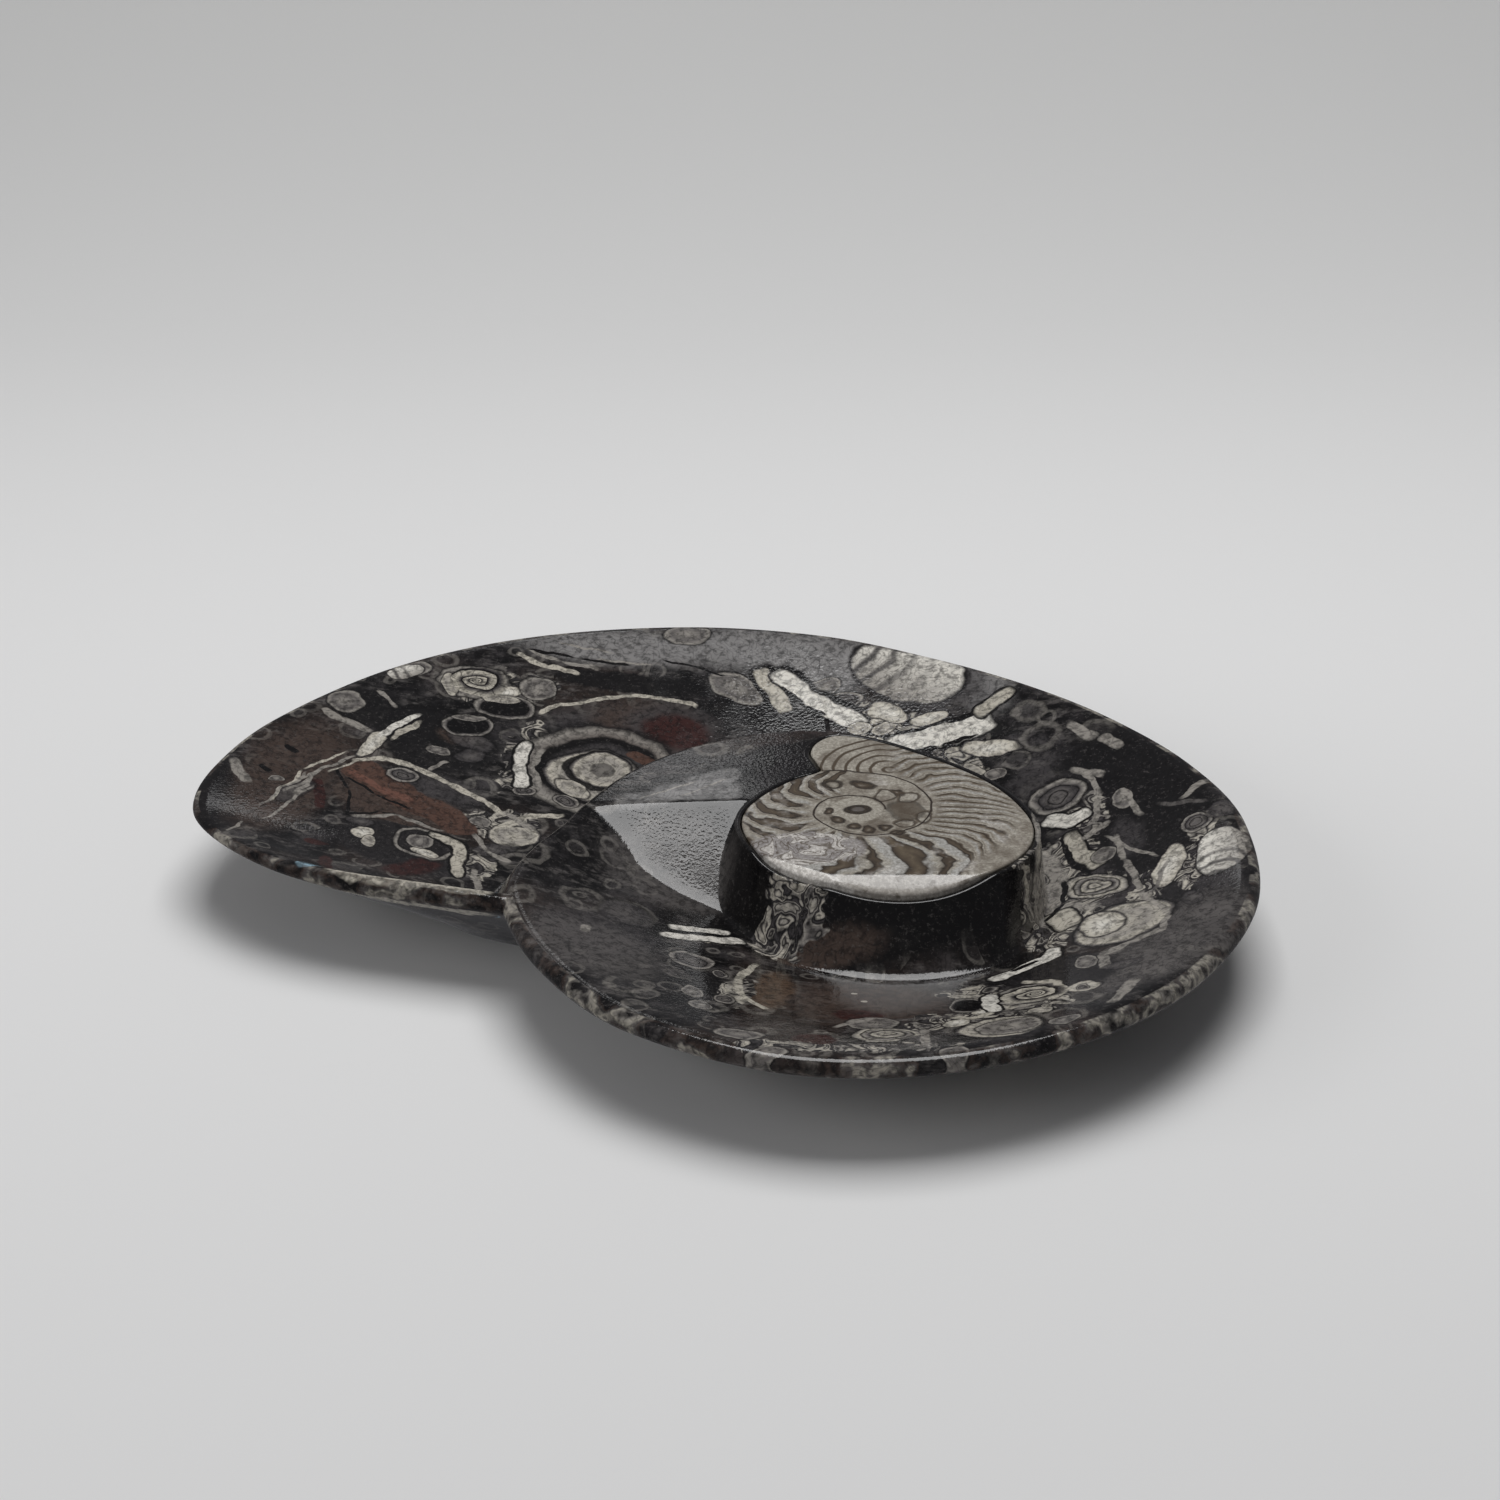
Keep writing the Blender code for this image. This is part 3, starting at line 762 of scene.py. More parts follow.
class Slab:
    """The polished stone so far: its colour, and the place kept flat and swapped. Matter is the
    colour of pressed shell, and ragged a noise about zero that tears the matter's outlines."""

    def __init__(self, colour, place, matter=None, ragged=None):
        self.colour, self.matter, self.ragged = colour, matter, ragged
        self.low, self.high = (COLUMNS[0], ROWS[0]), (COLUMNS[-1], ROWS[-1])
        self.flat = place.vector("MULTIPLY", (1, 1, 0))
        self.swapped = place.node("ShaderNodeCombineXYZ", {},
                                  {0: place.dot((0, 1, 0)), 1: place.dot((1, 0, 0))})
        self.marks = 0

    def block(self, low, high):
        """The same stone, for the part of the plan between two corners. Only the sections
        that reach this block are laid on it, so no point of the stone asks for all of them."""
        block = copy.copy(self)
        block.low, block.high = low, high
        return block

    def reached_by(self, x, y, length, width, turn=0, spread=1.0):
        """Whether an oval comes into this block, with room for the waves that move it."""
        c, s = abs(math.cos(math.radians(turn))), abs(math.sin(math.radians(turn)))
        half_x = spread * (length * c + width * s) / 2 + DRIFT
        half_y = spread * (length * s + width * c) / 2 + DRIFT
        in_column = self.low[0] < x + half_x and x - half_x < self.high[0]
        in_row = self.low[1] < y + half_y and y - half_y < self.high[1]
        return in_column and in_row

    def lay(self, group, *oval):
        """One oval or bar over the colour."""
        if not self.reached_by(*oval):
            return
        flat_scale, swapped_scale, offset = oval_frame(*oval)
        self.colour = self.colour.node(
            "ShaderNodeGroup", {"node_tree": group},
            {0: self.flat, 1: self.swapped, 2: flat_scale, 3: swapped_scale, 4: offset,
             5: self.colour})
        self.marks += 1

    def inside(self, *oval):
        """The place in an oval's own frame, 1 long at its edge."""
        flat_scale, swapped_scale, offset = oval_frame(*oval)
        return self.flat.vector("MULTIPLY_ADD", flat_scale,
                                self.swapped.vector("MULTIPLY_ADD", swapped_scale, offset))

    def lay_ovals(self, marks, groups=OVAL_GROUPS):
        """Marks as (look, x, y, length, width, turn in degrees), each over those before it."""
        for look, *oval in marks:
            self.lay(groups[look], *oval)

    def lay_strokes(self, strokes, groups=BAR_GROUPS):
        """Bent bars as (look, width, points): one bar over each stretch between two points.
        A wide pale one has a dark edge, laid first as a wider black one."""
        for look, width, *points in strokes:
            if look in EDGED and width > EDGED_FROM:
                self.lay_strokes([("edge", width + EDGE_EXTRA, *points)], groups)
            for (x0, y0), (x1, y1) in zip(points[:-1], points[1:]):
                run = math.hypot(x1 - x0, y1 - y0)
                turn = math.degrees(math.atan2(y1 - y0, x1 - x0))
                self.lay(groups[look], (x0 + x1) / 2, (y0 + y1) / 2, run + width * BAR_OVERLAP,
                         width * BAR_SWELL, turn)

    def lay_matter(self, ovals):
        """Pressed shell in ovals with torn outlines."""
        for oval in ovals:
            if not self.reached_by(*oval, spread=MATTER_SPREAD):
                continue
            cover = (self.inside(*oval).length() + self.ragged).between(1.0, 0.9)
            self.colour = cover.mix(self.colour, self.matter)
            self.marks += 1

    def lay_coil(self, x, y, length, width, turn, start, growth, septa):
        """A coiled shell: the log of the distance less the turn made gives where in a whorl a
        point lies. Near 0 and 1 is the dark wall, and pale calcite fills the middle."""
        if not self.reached_by(x, y, length, width, turn):
            return
        inside = self.inside(x, y, length, width, turn)
        far = inside.length()
        angle = inside.turn()
        whorl = (far.math("LOGARITHM", far, math.e) / growth - angle + start).fraction()
        walls = whorl.away_from(0.5).between(0.37, 0.45)
        chambers = (angle * septa + whorl * 0.6).fraction().away_from(0.5).between(0.42, 0.48)
        calcite = whorl.between(0.1, 0.7).mix(SLATE, CREAM)
        shell = walls.math("MAXIMUM", walls, chambers * 0.6).mix(calcite, INK)
        self.colour = far.between(1.0, 0.92).mix(self.colour, shell)
        self.marks += 1

    def lay_ribbed(self, x, y, length, width, turn, ribs, bend):
        """A ribbed shell cut along its side: bent lines across a pale oval, fading to one end."""
        if not self.reached_by(x, y, length, width, turn):
            return
        inside = self.inside(x, y, length, width, turn)
        far, across, up = inside.length(), inside.dot((1, 0, 0)), inside.dot((0, 1, 0))
        rib = (across * ribs + up * up * bend).fraction().away_from(0.5).between(0.2, 0.45)
        cover = rib * across.between(0.5, -0.4, 0.15, 0.85)
        shell = cover.mix(up.between(-0.9, 0.6).mix(PALE, WHITE), SLATE)
        shell = far.between(0.86, 0.94).mix(shell, SOOT)
        self.colour = far.between(1.0, 0.94).mix(self.colour, shell)
        self.marks += 1


print("blocks of the plan:", (len(COLUMNS) - 1) * (len(ROWS) - 1), "and the waves move an oval by",
      round(DRIFT, 1), "mm at most")

# %% [markdown]
# The places of the sections were read from the photograph, drawn out flat as a plan of the dish.
# They are millimetres from the dish's middle: x to the right, y to the back. Broad stains come
# first, then the shells, then the fine lines, as each lies over the one before. Some broad marks
# are painted reflection, painted sheen or painted shade, as the notes at them say.

# %% Sections on the tongue, at the left
TONGUE_STAINS = [
    ("soot", -96, 9, 18, 36, 0), ("brown", -84, 21, 24, 56, -14), ("soot", -56, 41, 28, 22, 10),
    ("char", -60, 3, 29, 20, 0), ("brown", -66, 17, 18, 14, 0), ("brown", -59, -24, 24, 6, -14),
    ("maroon", -58, -5, 15, 6, 38), ("maroon", -73, -12, 3, 12, 8), ("maroon", -75.5, -1.5, 4, 3, 0),
    ("slate", -54.5, 25.5, 25, 12, -18), ("brown", -53, 45, 9, 7, 0), ("soot", -71, 50, 16, 16, 0),
    ("soot", -62, 45, 18, 14, 30),
]
TONGUE_STROKES = [
    ("maroon", 2.2, (-78.5, 22), (-77, 12)), ("brown", 10, (-72, 21), (-64, 18), (-52, 15)),
    ("rust", 7, (-70.5, 28), (-66, 24), (-60, 19.5)), ("rust", 6, (-60, 19), (-52, 16.5), (-50, 13)),
    ("salmon", 2.2, (-71.5, 26.5), (-66, 22.5), (-60, 19.5)),
    ("brown", 2, (-72, 19), (-66, 13), (-58, 11)), ("black", 0.7, (-72, 24), (-67, 20), (-60, 16.5)),
    ("black", 0.6, (-71, 11.5), (-65, 14), (-56, 12.5)),
    ("black", 0.7, (-74.5, 27), (-72, 20), (-70.5, 11)), ("black", 1.2, (-85, 32.5), (-82.5, 30.5)),
    ("black", 1.2, (-89, 24), (-87.5, 22.4)),
]
TONGUE_SHELLS = [
    ("ring", -62, 28, 8, 6.5, 0), ("white", -70, 37.3, 11, 4.6, 70), ("pale", -75, 51, 8, 10, 0),
    ("white", -68, 5.5, 5.4, 4.6, 20), ("cream", -66.6, 2.8, 4, 4.4, 0), ("grey", -68.5, 9.5, 6, 4, 0),
    ("hollow", -56, 5, 13, 12, 0), ("white", -55.6, 2, 6, 3.4, -10), ("pale", -56.5, 5.5, 6, 5, 0),
    ("cream", -39.5, 13.5, 12, 7, 12), ("pale", -46, 16.5, 5, 4, 0), ("pale", -56.5, 38.5, 6, 4, 0),
    ("grey", -50, 38.5, 8, 5, 20), ("grey", -43, 8, 12, 5, 30), ("chip", -76, -17, 5.5, 4, 0),
    ("grey", -50, 43, 12, 6, -20), ("chip", -41, -27.3, 3, 2.4, 0), ("grey", -82, 17, 12, 5, 60),
    ("pale", -86, 20, 3, 2.4, 0),
]
TONGUE_LINES = [
    ("pale", 0.8, (-72, 33), (-79, 24), (-82, 15)), ("cream", 0.6, (-74, 34), (-81, 25), (-86, 12)),
    ("pale", 0.7, (-76, 29), (-84, 15)), ("pale", 0.6, (-80, 25), (-88, 9)),
    ("cream", 0.7, (-71, 31), (-76, 25)), ("pale", 0.6, (-79, 20), (-87, 4)),
    ("pale", 0.5, (-74, 30), (-83, 20)), ("pale", 0.6, (-90, 2), (-92, -5)),
    ("pale", 2.2, (-95, 24), (-91, 17)), ("white", 1.4, (-69, 39.5), (-60.5, 50)),
    ("cream", 1.4, (-66.4, 39.5), (-59.8, 47.5)), ("pale", 1.8, (-79, 47), (-76, 44), (-70, 42)),
    ("pale", 1.0, (-69.5, 57), (-65.5, 51)), ("pale", 0.9, (-57.5, 31), (-54, 35)),
    ("cream", 1.4, (-72, 31), (-66, 33), (-60, 31.5), (-53, 27), (-45, 23), (-42.5, 20.5)),
    ("cream", 2.2, (-55, 9), (-50.5, 7), (-49, 3), (-50, 0), (-48.8, -4)),
    ("cream", 1.4, (-42, 15), (-38, 20), (-31, 22)), ("pale", 1.5, (-42, 21), (-36, 16)),
    ("pale", 1.4, (-46, 0), (-45, -8)), ("cream", 2.6, (-72, -20), (-56, -25), (-41, -28)),
    ("pale", 1.2, (-48, 12), (-44, 7), (-39, 4)), ("pale", 1.0, (-70, 11), (-62, 13.5), (-53, 11)),
]
print("kinds of mark on the tongue:", sorted({mark[0] for mark in TONGUE_STAINS + TONGUE_SHELLS}))

# %% Sections behind the ridge and at the back
# The pale grey stains along the back slope paint the softbox's reflection in the polished stone; the other
# stains are the stone's own.
BACK_STAINS = [
    ("haze", -20, 77.5, 60, 15, -2), ("haze", 16, 75, 64, 20, -14), ("haze", 18, 66, 30, 16, -34),
    ("slate", -22, 47, 54, 34, 8), ("brown", -14, 53, 32, 22, -12), ("soot", -18, 67, 40, 7, -6),
    ("soot", 10, 58, 34, 9, -14), ("haze", 54, 58, 14, 20, 20), ("brown", -53, 44.5, 10, 7, 0),
    ("slate", 44, 62, 34, 20, -35), ("soot", 46, 38, 22, 12, -20),
]
BACK_SHELLS = [
    ("pale", -50.5, 63.5, 18, 13, 0), ("coil", -49.5, 64, 12.5, 10, 0),
    ("cream", -55.5, 61.5, 4, 9, 12), ("white", -43.5, 61.5, 6, 3.5, 30), ("pale", -38, 63, 8, 8, 0),
    ("pale", -64, 65, 11, 6, 30), ("dark", -44, 56, 13, 10, 0), ("cream", -45, 58.8, 8, 3, 0),
    ("dark", -51, 48.5, 11, 9, 0), ("pale", -51, 51, 8, 2.4, 0), ("slate", -10, 54, 26, 18, -14),
    ("maroon", -9, 53, 16, 12, -14), ("pale", -24.5, 38, 38, 33, 14),
    ("brown", -23.5, 39.5, 33, 28, 14), ("jet", -24, 38.5, 27.5, 23, 14),
    ("grey", -24, 38.5, 26, 21.6, 14), ("cream", -25, 36.6, 22.5, 18, 10),
    ("jet", -23.6, 38.4, 15, 12.6, 0), ("cream", -23, 38.8, 14, 11.4, 0), ("grey", -23, 38.8, 5, 4, 0),
    ("cream", -29.5, 32, 8, 6, -30), ("ring", -30.5, 27, 6, 5, 0), ("ring", -38.5, 28.5, 5, 4, 0),
    ("pale", -7.5, 82.5, 11, 8, 0), ("pale", 3, 66, 15, 9, -40), ("cream", 10.2, 71.3, 4, 3.4, 0),
    ("pale", 21.5, 65.5, 8, 6, 0), ("ring", 26, 61, 8, 6, 0), ("ring", 45, 60.5, 9, 8, 0),
]
BACK_FRONT_SHELLS = [
    ("cream", 28.5, 52.5, 6, 4.4, 0), ("cream", 33.5, 51.5, 6, 4, 0), ("white", 43, 52, 9, 3.6, 0),
    ("white", 54.5, 41.2, 15, 5.4, -20), ("cream", 51, 35.8, 7, 3, -40), ("pale", 55, 33, 5, 4, 0),
    ("white", 34.5, 55.5, 11, 5, -36), ("grey", 48, 62, 8, 7, 0),
]
BACK_LINES = [
    ("black", 6, (8.5, 72), (13, 60)), ("black", 6, (12, 71), (18, 64), (27, 56)),
    ("cream", 3.4, (8.5, 71), (10.8, 65.5), (13, 60)),
    ("white", 3.8, (12, 70.5), (18, 64), (25, 57), (29, 54)),
    ("black", 0.9, (12.5, 67), (17, 61), (22, 58)), ("cream", 1.2, (-37, 55), (-33, 58.5), (-28, 60)),
    ("cream", 1.2, (-28, 60), (-20, 63), (-12, 63), (-5, 61)),
    ("cream", 1.2, (-42, 74), (-36, 70.5), (-30, 69)), ("pale", 1.0, (-40, 76), (-33, 72), (-25, 71)),
    ("white", 2.6, (-39.5, 30), (-40, 38), (-38.5, 45)), ("pale", 1.2, (-36, 31), (-37, 38), (-35, 44)),
    ("rust", 2.4, (-18, 45.5), (-13, 43)), ("white", 5, (35, 46), (45, 47), (54, 48.6)),
    ("black", 0.9, (36, 49.5), (46, 50), (55, 51.4)), ("black", 0.8, (34, 43.6), (44, 44.4), (52, 46)),
    ("cream", 3, (53, 51), (59, 56)), ("pale", 1.2, (30, 48), (34, 47)),
    ("black", 0.8, (-40, 76), (-30, 74), (-18, 72)), ("pale", 0.6, (-34, 79), (-22, 76)),
    ("pale", 0.6, (-26, 74), (-14, 72)), ("black", 0.6, (-12, 74), (2, 70)),
]
print("shells at the back:", len(BACK_SHELLS + BACK_FRONT_SHELLS), "and lines:", len(BACK_LINES))

# %% Sections at the right
# The two see-through grey stains at the front right paint the dim sheen of that slope; the rest are the
# stone's own.
RIGHT_STAINS = [
    ("slate", 72, -8, 54, 28, 80), ("slate", 50, -54, 34, 22, 20), ("soot", 80, 12, 34, 62, 14),
    ("slate", 67, -2, 16, 36, 12), ("char", 86, -30, 26, 34, -30), ("slate", 62, 28, 10, 14, 0),
    ("slate", 92, -18, 12, 18, 10), ("slate", 78, 5, 8, 18, -10), ("veil", 84, -40, 44, 26, 52),
    ("veil", 72, -52, 26, 20, 20), ("soot", 83, 22, 22, 40, 20),
]
RIGHT_STROKES = [
    ("pale", 4, (63, 5), (64, -4), (62, -12)), ("cream", 3.4, (67.5, 10), (69, 3), (72, -2)),
    ("pale", 3, (62, -14), (67, -15), (70, -18)), ("cream", 5, (63.5, -16), (65, -22)),
    ("pale", 2, (60, 2), (59.5, -10), (60, -20)),
    ("pale", 2, (80, -35), (74, -37), (70, -40), (69, -47)),
]
RIGHT_SHELLS = [
    ("slate", 65.5, 22.5, 16, 15, 0), ("ring", 65.5, 22.5, 13.5, 11.6, 0), ("pale", 78, 17, 4, 7, 0),
    ("coil", 70.5, -9.5, 15, 8.6, -38), ("ring", 90.5, 2.5, 8, 8, 0), ("white", 83.7, -10.5, 17, 6, 71),
    ("grey", 86.5, -25.5, 5, 7, 0), ("veil", 90, -33, 10, 8, 0), ("veil", 83, -39.5, 6, 6, 0),
    ("cream", 74, -28, 20, 17, 25), ("white", 71, -26, 10, 11, 30), ("ring", 61, -2, 4, 5, 0),
    ("grey", 96, 5, 8, 8, 0), ("pale", 73, 0.5, 6, 5, 30),
]
RIGHT_LINES = [
    ("pale", 2.4, (70, 43), (74.5, 37)), ("pale", 2, (76, 36.5), (79, 32.5)),
    ("pale", 1.8, (69, 29), (75, 25)), ("pale", 1.4, (71, 28), (74, 20), (72, 12)),
    ("pale", 1.2, (78, 20), (81, 10)), ("white", 3, (63, 16.5), (67, 13.8), (70.5, 15.5)),
    ("pale", 1.2, (76, 6), (76.5, -3), (78, -16)), ("pale", 1.2, (78, -16), (82, -30), (80, -36)),
    ("pale", 0.9, (74, 7), (82, -6)), ("grey", 1, (84, -8), (79, -20)),
    ("pale", 1.6, (70, 8), (75, 11)), ("black", 1.2, (66, 8), (67.5, 0), (70, -4)),
    ("black", 1.0, (65, -4), (64.5, -12), (61, -18)), ("grey", 1.2, (84, 12), (93, 9)),
    ("pale", 1.4, (88, 12), (96, 16)),
]
print("shells at the right:", len(RIGHT_SHELLS), "and lines:", len(RIGHT_LINES))

# %% Sections in front, seen over the rim
# The wide jet black stain about the pedestal blackens its wall: partly the stone's own black, partly
# painted shade where the steep wall catches little light. The see-through grey stain and the two slate
# stains at the front left paint that slope's dim sheen over the stone's grey.
FRONT_STAINS = [
    ("brown", 27, -54, 38, 36, 10), ("maroon", 25, -61, 10, 8, 0), ("maroon", 17, -76, 9, 7, 0),
    ("ochre", 10.5, -50, 9, 26, -8), ("soot", 54, -44, 14, 7, -10), ("soot", -1, -51, 8, 14, 10),
    ("slate", 30, -70, 22, 14, 0), ("slate", -22, -37, 28, 26, 10), ("slate", -26, -38, 18, 16, 0),
    ("char", 62, -46, 22, 22, -20), ("jet", 28, -2, 80, 72, 0), ("veil", -22, -44, 34, 26, -40),
    ("brown", 20, -32.5, 26, 7, -8), ("veil", -9, -7, 30, 26, 0),
]
# On the land above the ramp, the three broad pale grey strokes are painted reflection of the small card of
# light behind the dish; the two thin pale lines are scratches across it.
LAND_REFLECTION_AND_SCRATCHES = [
    ("haze", 5, (-19, 6.6), (-8, 8), (3, 8)), ("haze", 5.5, (-12, 9.5), (3, 12)),
    ("haze", 5, (-5, 13), (3.4, 17)), ("pale", 0.5, (-16, 7), (-4, 14)),
    ("pale", 0.4, (-8, 7), (2, 15)),
]
FRONT_SHELLS = [
    ("black", 53.5, -32, 10, 12, 10), ("pale", 55.5, -54, 16, 13, 10), ("coil", 56, -54, 13, 10.4, 10),
    ("cream", 44.5, -51, 8, 3.6, -20), ("dark", 44, -56.5, 8, 10, 0), ("cream", 49, -71.5, 17, 12, 10),
    ("pale", 50.5, -71.5, 13, 9, 10), ("white", 41.5, -67, 7, 4, 40), ("cream", 56.5, -65, 5, 4, 0),
    ("white", 46.5, -61.5, 6, 3.4, 0), ("white", 65, -55, 8, 6, 0), ("ring", 65, -55, 4, 3.4, 0),
    ("pale", 66.5, -41.5, 5, 7, 0), ("grey", 72, -47, 8, 5, 0), ("black", -9.5, -29, 4.4, 4, 0),
    ("grey", -16, -25, 11, 11, 0), ("ring", -4.5, -40.5, 9.5, 9, 0), ("ring", 1, -44.5, 4, 4, 0),
    ("cream", 3.5, -51, 3.4, 3.4, 0), ("pale", -4, -56.5, 5, 7, 0), ("ring", 2, -58.5, 5, 5, 0),
    ("pale", -3, -62.5, 5, 4, 0), ("pale", 27, -66, 10, 9, 0), ("coil", 29, -73, 14, 9, 0),
    ("pale", 4, -76, 11, 6, 0), ("pale", 9, -83, 9, 4, 0), ("cream", 24, -47, 1.4, 1.4, 0),
    ("cream", 26, -52, 1.4, 1.4, 0), ("pale", 40, -83, 6, 5, 0), ("pale", -0.5, -27.6, 5, 6, 30),
    ("grey", 36, -76, 10, 5, 0), ("pale", 60, -72, 8, 4, 30),
]
FRONT_LINES = [
    ("white", 3, (61, -31), (60, -35), (54, -39), (50, -42)), ("black", 1.2, (58, -36), (53, -38.5)),
    ("white", 2.6, (49, -51), (47.5, -57), (49, -62)), ("cream", 1.6, (48, -63), (44, -65), (41, -63)),
    ("cream", 1.6, (55, -46), (61, -49), (61.5, -54), (58, -60)), ("pale", 2, (73, -57), (69, -66)),
    ("black", 5, (-10, -29), (4, -25)), ("white", 2.2, (-9, -26), (-3, -24.6), (2, -23.5)),
    ("white", 2.6, (-10, -31), (-2, -28.6), (5, -26.5)), ("cream", 1.4, (8, -36), (4, -47), (5, -55)),
    ("cream", 1.4, (5, -55), (9, -61)), ("pale", 1.6, (-23.5, -34), (-23.5, -38)),
    ("pale", 1.8, (36, -70), (36, -80)), ("grey", 2, (42, -62), (30, -64)),
    ("pale", 1.2, (20, -68), (28, -62)),
]
print("shells in front:", len(FRONT_SHELLS), "and lines:", len(FRONT_LINES))

# %% Coiled and ribbed shells: where they lie and how they are wound
# A coil has its first whorl's start, its growth and its chambers a turn after the five numbers of
# its oval. A ribbed shell has its number of ribs and their bend. Matter is ovals alone.
COILS = [(-49.5, 64, 13, 10.4, 0, 0.5, 0.8, 9), (55.8, -54, 12.4, 10, 20, 0.4, 0.7, 0)]
RIBBED = [
    (38.5, 67, 29, 19, -38, 3.2, 0.9), (94, -10.5, 18, 11, 78, 2.4, 1.2), (-65, 64, 9, 5, 28, 2.0, 0.0),
]
MATTER_AREAS = [
    (64.5, -6, 36, 12, 84), (63, -21, 12, 8, -60), (71, 14, 16, 10, 70), (49, -62, 22, 15, 60),
    (-39, 40, 24, 9, 80), (-44, 62, 20, 12, 10), (-42, 17, 15, 9, 20), (-45, 2, 14, 8, 80),
    (-3, -28, 16, 7, 20), (4, -53, 16, 7, 80), (12, -27, 15, 9, -10), (60, -24, 9, 14, 20),
    (48, 38, 14, 8, -50), (92, 0, 12, 7, 80), (34, 54, 18, 8, -30), (79, -18, 16, 7, 80),
    (20, -80, 40, 5, 0), (67, -14, 22, 14, 70), (68, 4, 14, 9, 60), (88, -14, 14, 8, 80),
    (46, -49, 12, 8, 20), (58, -62, 12, 7, 60), (36, -66, 10, 8, 80), (30, 48, 10, 5, -20),
]
print("coils:", len(COILS), "ribbed shells:", len(RIBBED), "areas of pressed shell:", len(MATTER_AREAS))

# %% [markdown]
# ## The black limestone
# The rock between the shells was a dark mud full of shell grit. It shows as soft grey clouds,
# streaks, fine pale grains, faint growth lines and broken rings. Noise makes the clouds, its
# contour lines make the growth lines, and cells with a ring in some of them make the small
# broken shells. Noise is read in the round, so walls, rim and underside carry the same rock.

# %% The rock, the pressed shell and what runs through both
GRIT_CELLS = ((11.0, 0.5, 0.3), (6.0, 0.62, 0.3))
MATTER = [(0.3, CREAM), (0.36, PALE), (0.385, INK), (0.41, GREY), (0.44, PALE), (0.46, INK),
          (0.49, SLATE), (0.51, SOOT), (0.525, INK), (0.545, PALE), (0.58, CREAM), (0.6, GREY),
          (0.615, INK), (0.64, PALE), (0.7, CREAM)]
PEBBLES = [(0.38, INK, 0), (0.43, INK, 0.8), (0.48, BROWN, 0.8), (0.53, GREY, 0.8), (0.57, CREAM, 0.8),
           (0.61, PALE, 0.7), (0.66, INK, 0.7)]


def rock_colour(place, moved):
    """Black mud, grey clouds, brown clouds, streaks and broken shells, read at the moved place."""
    clouds = place.noise(9.0, detail=5.0, rough=0.66)
    colour = clouds.between(0.44, 0.72).mix(INK, SLATE)
    brown = place.noise(24.0, detail=1.0).between(0.52, 0.68) * 0.35
    colour = brown.mix(colour, BROWN)
    streaks = place.vector("MULTIPLY", (0.4, 1.1, 1.0)).noise(2.6, detail=3.0, rough=0.66)
    colour = streaks.between(0.5, 0.68, 0, 0.6).mix(colour, GREY)
    for size, share, cover in GRIT_CELLS:
        cell = moved.node("ShaderNodeTexVoronoi", {"voronoi_dimensions": "2D"},
                          {"Vector": moved, "Scale": 1 / size})
        chosen = Field(cell.socket.node.outputs["Color"])
        there = chosen.dot((1, 0, 0)).between(share, share + 0.02)
        radius = chosen.dot((0, 0.3, 0)) + 0.1
        edge = (cell - radius).away_from(0).between(0.09, 0.03)
        filling = (cell - radius).between(0.0, -0.06) * chosen.dot((0, 0, 1)).between(0.3, 0.9, 0, 0.9)
        colour = (there * edge * cover).mix(colour, PALE)
        colour = (there * filling * cover).mix(colour, GREY)
    return colour


def shell_matter(place):
    """Broken shells pressed together: a noise cut into lumps, each from dark to cream."""
    bands = place.noise(5.5, detail=2.0, rough=0.4, twist=1.0)
    return bands.node("ShaderNodeValToRGB", {"stops": MATTER}, {"Fac": bands})


def weathering(place):
    """What runs through rock and shells alike, as (cover, colour): pebbles on the rim's side,
    growth lines, dark mottling and pale grains."""
    side = place.node("ShaderNodeAttribute", {"attribute_name": "side"}, {}, 2)
    lumps = place.noise(8.0, detail=3.0, rough=0.55)
    pebbles = lumps.node("ShaderNodeValToRGB", {"stops": PEBBLES}, {"Fac": lumps})
    growth = place.noise(8.5, detail=2.0).lines(17, 0.03, 0.14)
    mottle = place.noise(1.5, detail=4.0, rough=0.7)
    grains = place.noise(0.9, detail=3.0, rough=0.8)
    return ((side * 0.75 * Field(pebbles.socket.node.outputs["Alpha"]), pebbles),
            (growth * 0.35, INK),
            (mottle.between(0.36, 0.56, 0.6, 0), INK),
            (grains.between(0.54, 0.72, 0, 0.35), GREY))


print("stops from dark to cream in the pressed shell:", len(MATTER), "and in the pebbles:", len(PEBBLES))

# %% [markdown]
# The finish is made block by block. Every block shares the rock, the warp, the weathering and the
# polish, and has its own sections over them. Each cut between two blocks is a Mix Shader whose
# factor is 0 on one side and 1 on the other, so the renderer leaves out the blocks on the far
# side. Both sides lay every oval that crosses the cut, so the cut can't be seen.

# %% The limestone's shader
POLISH, RUBBED = 0.06, 0.14
PIT_SIZE, PIT_DEPTH, PIT_STRENGTH = 0.6, 0.0003, 0.1
STONE_IOR = 1.5


def lay_sections(slab):
    """Every section that reaches the slab's block: stains first, then matter and shells."""
    for stains in (TONGUE_STAINS, BACK_STAINS, RIGHT_STAINS, FRONT_STAINS):
        slab.lay_ovals(stains)
    slab.lay_matter(MATTER_AREAS)
    slab.lay_strokes(LAND_REFLECTION_AND_SCRATCHES + TONGUE_STROKES + RIGHT_STROKES)
    for shells, lines in ((TONGUE_SHELLS, TONGUE_LINES), (BACK_SHELLS, BACK_LINES),
                          (RIGHT_SHELLS, RIGHT_LINES), (FRONT_SHELLS, FRONT_LINES)):
        slab.lay_ovals(shells)
        slab.lay_strokes(lines)
    slab.lay_ovals(BACK_FRONT_SHELLS)
    for coil in COILS:
        slab.lay_coil(*coil)
    for shell in RIBBED:
        slab.lay_ribbed(*shell)


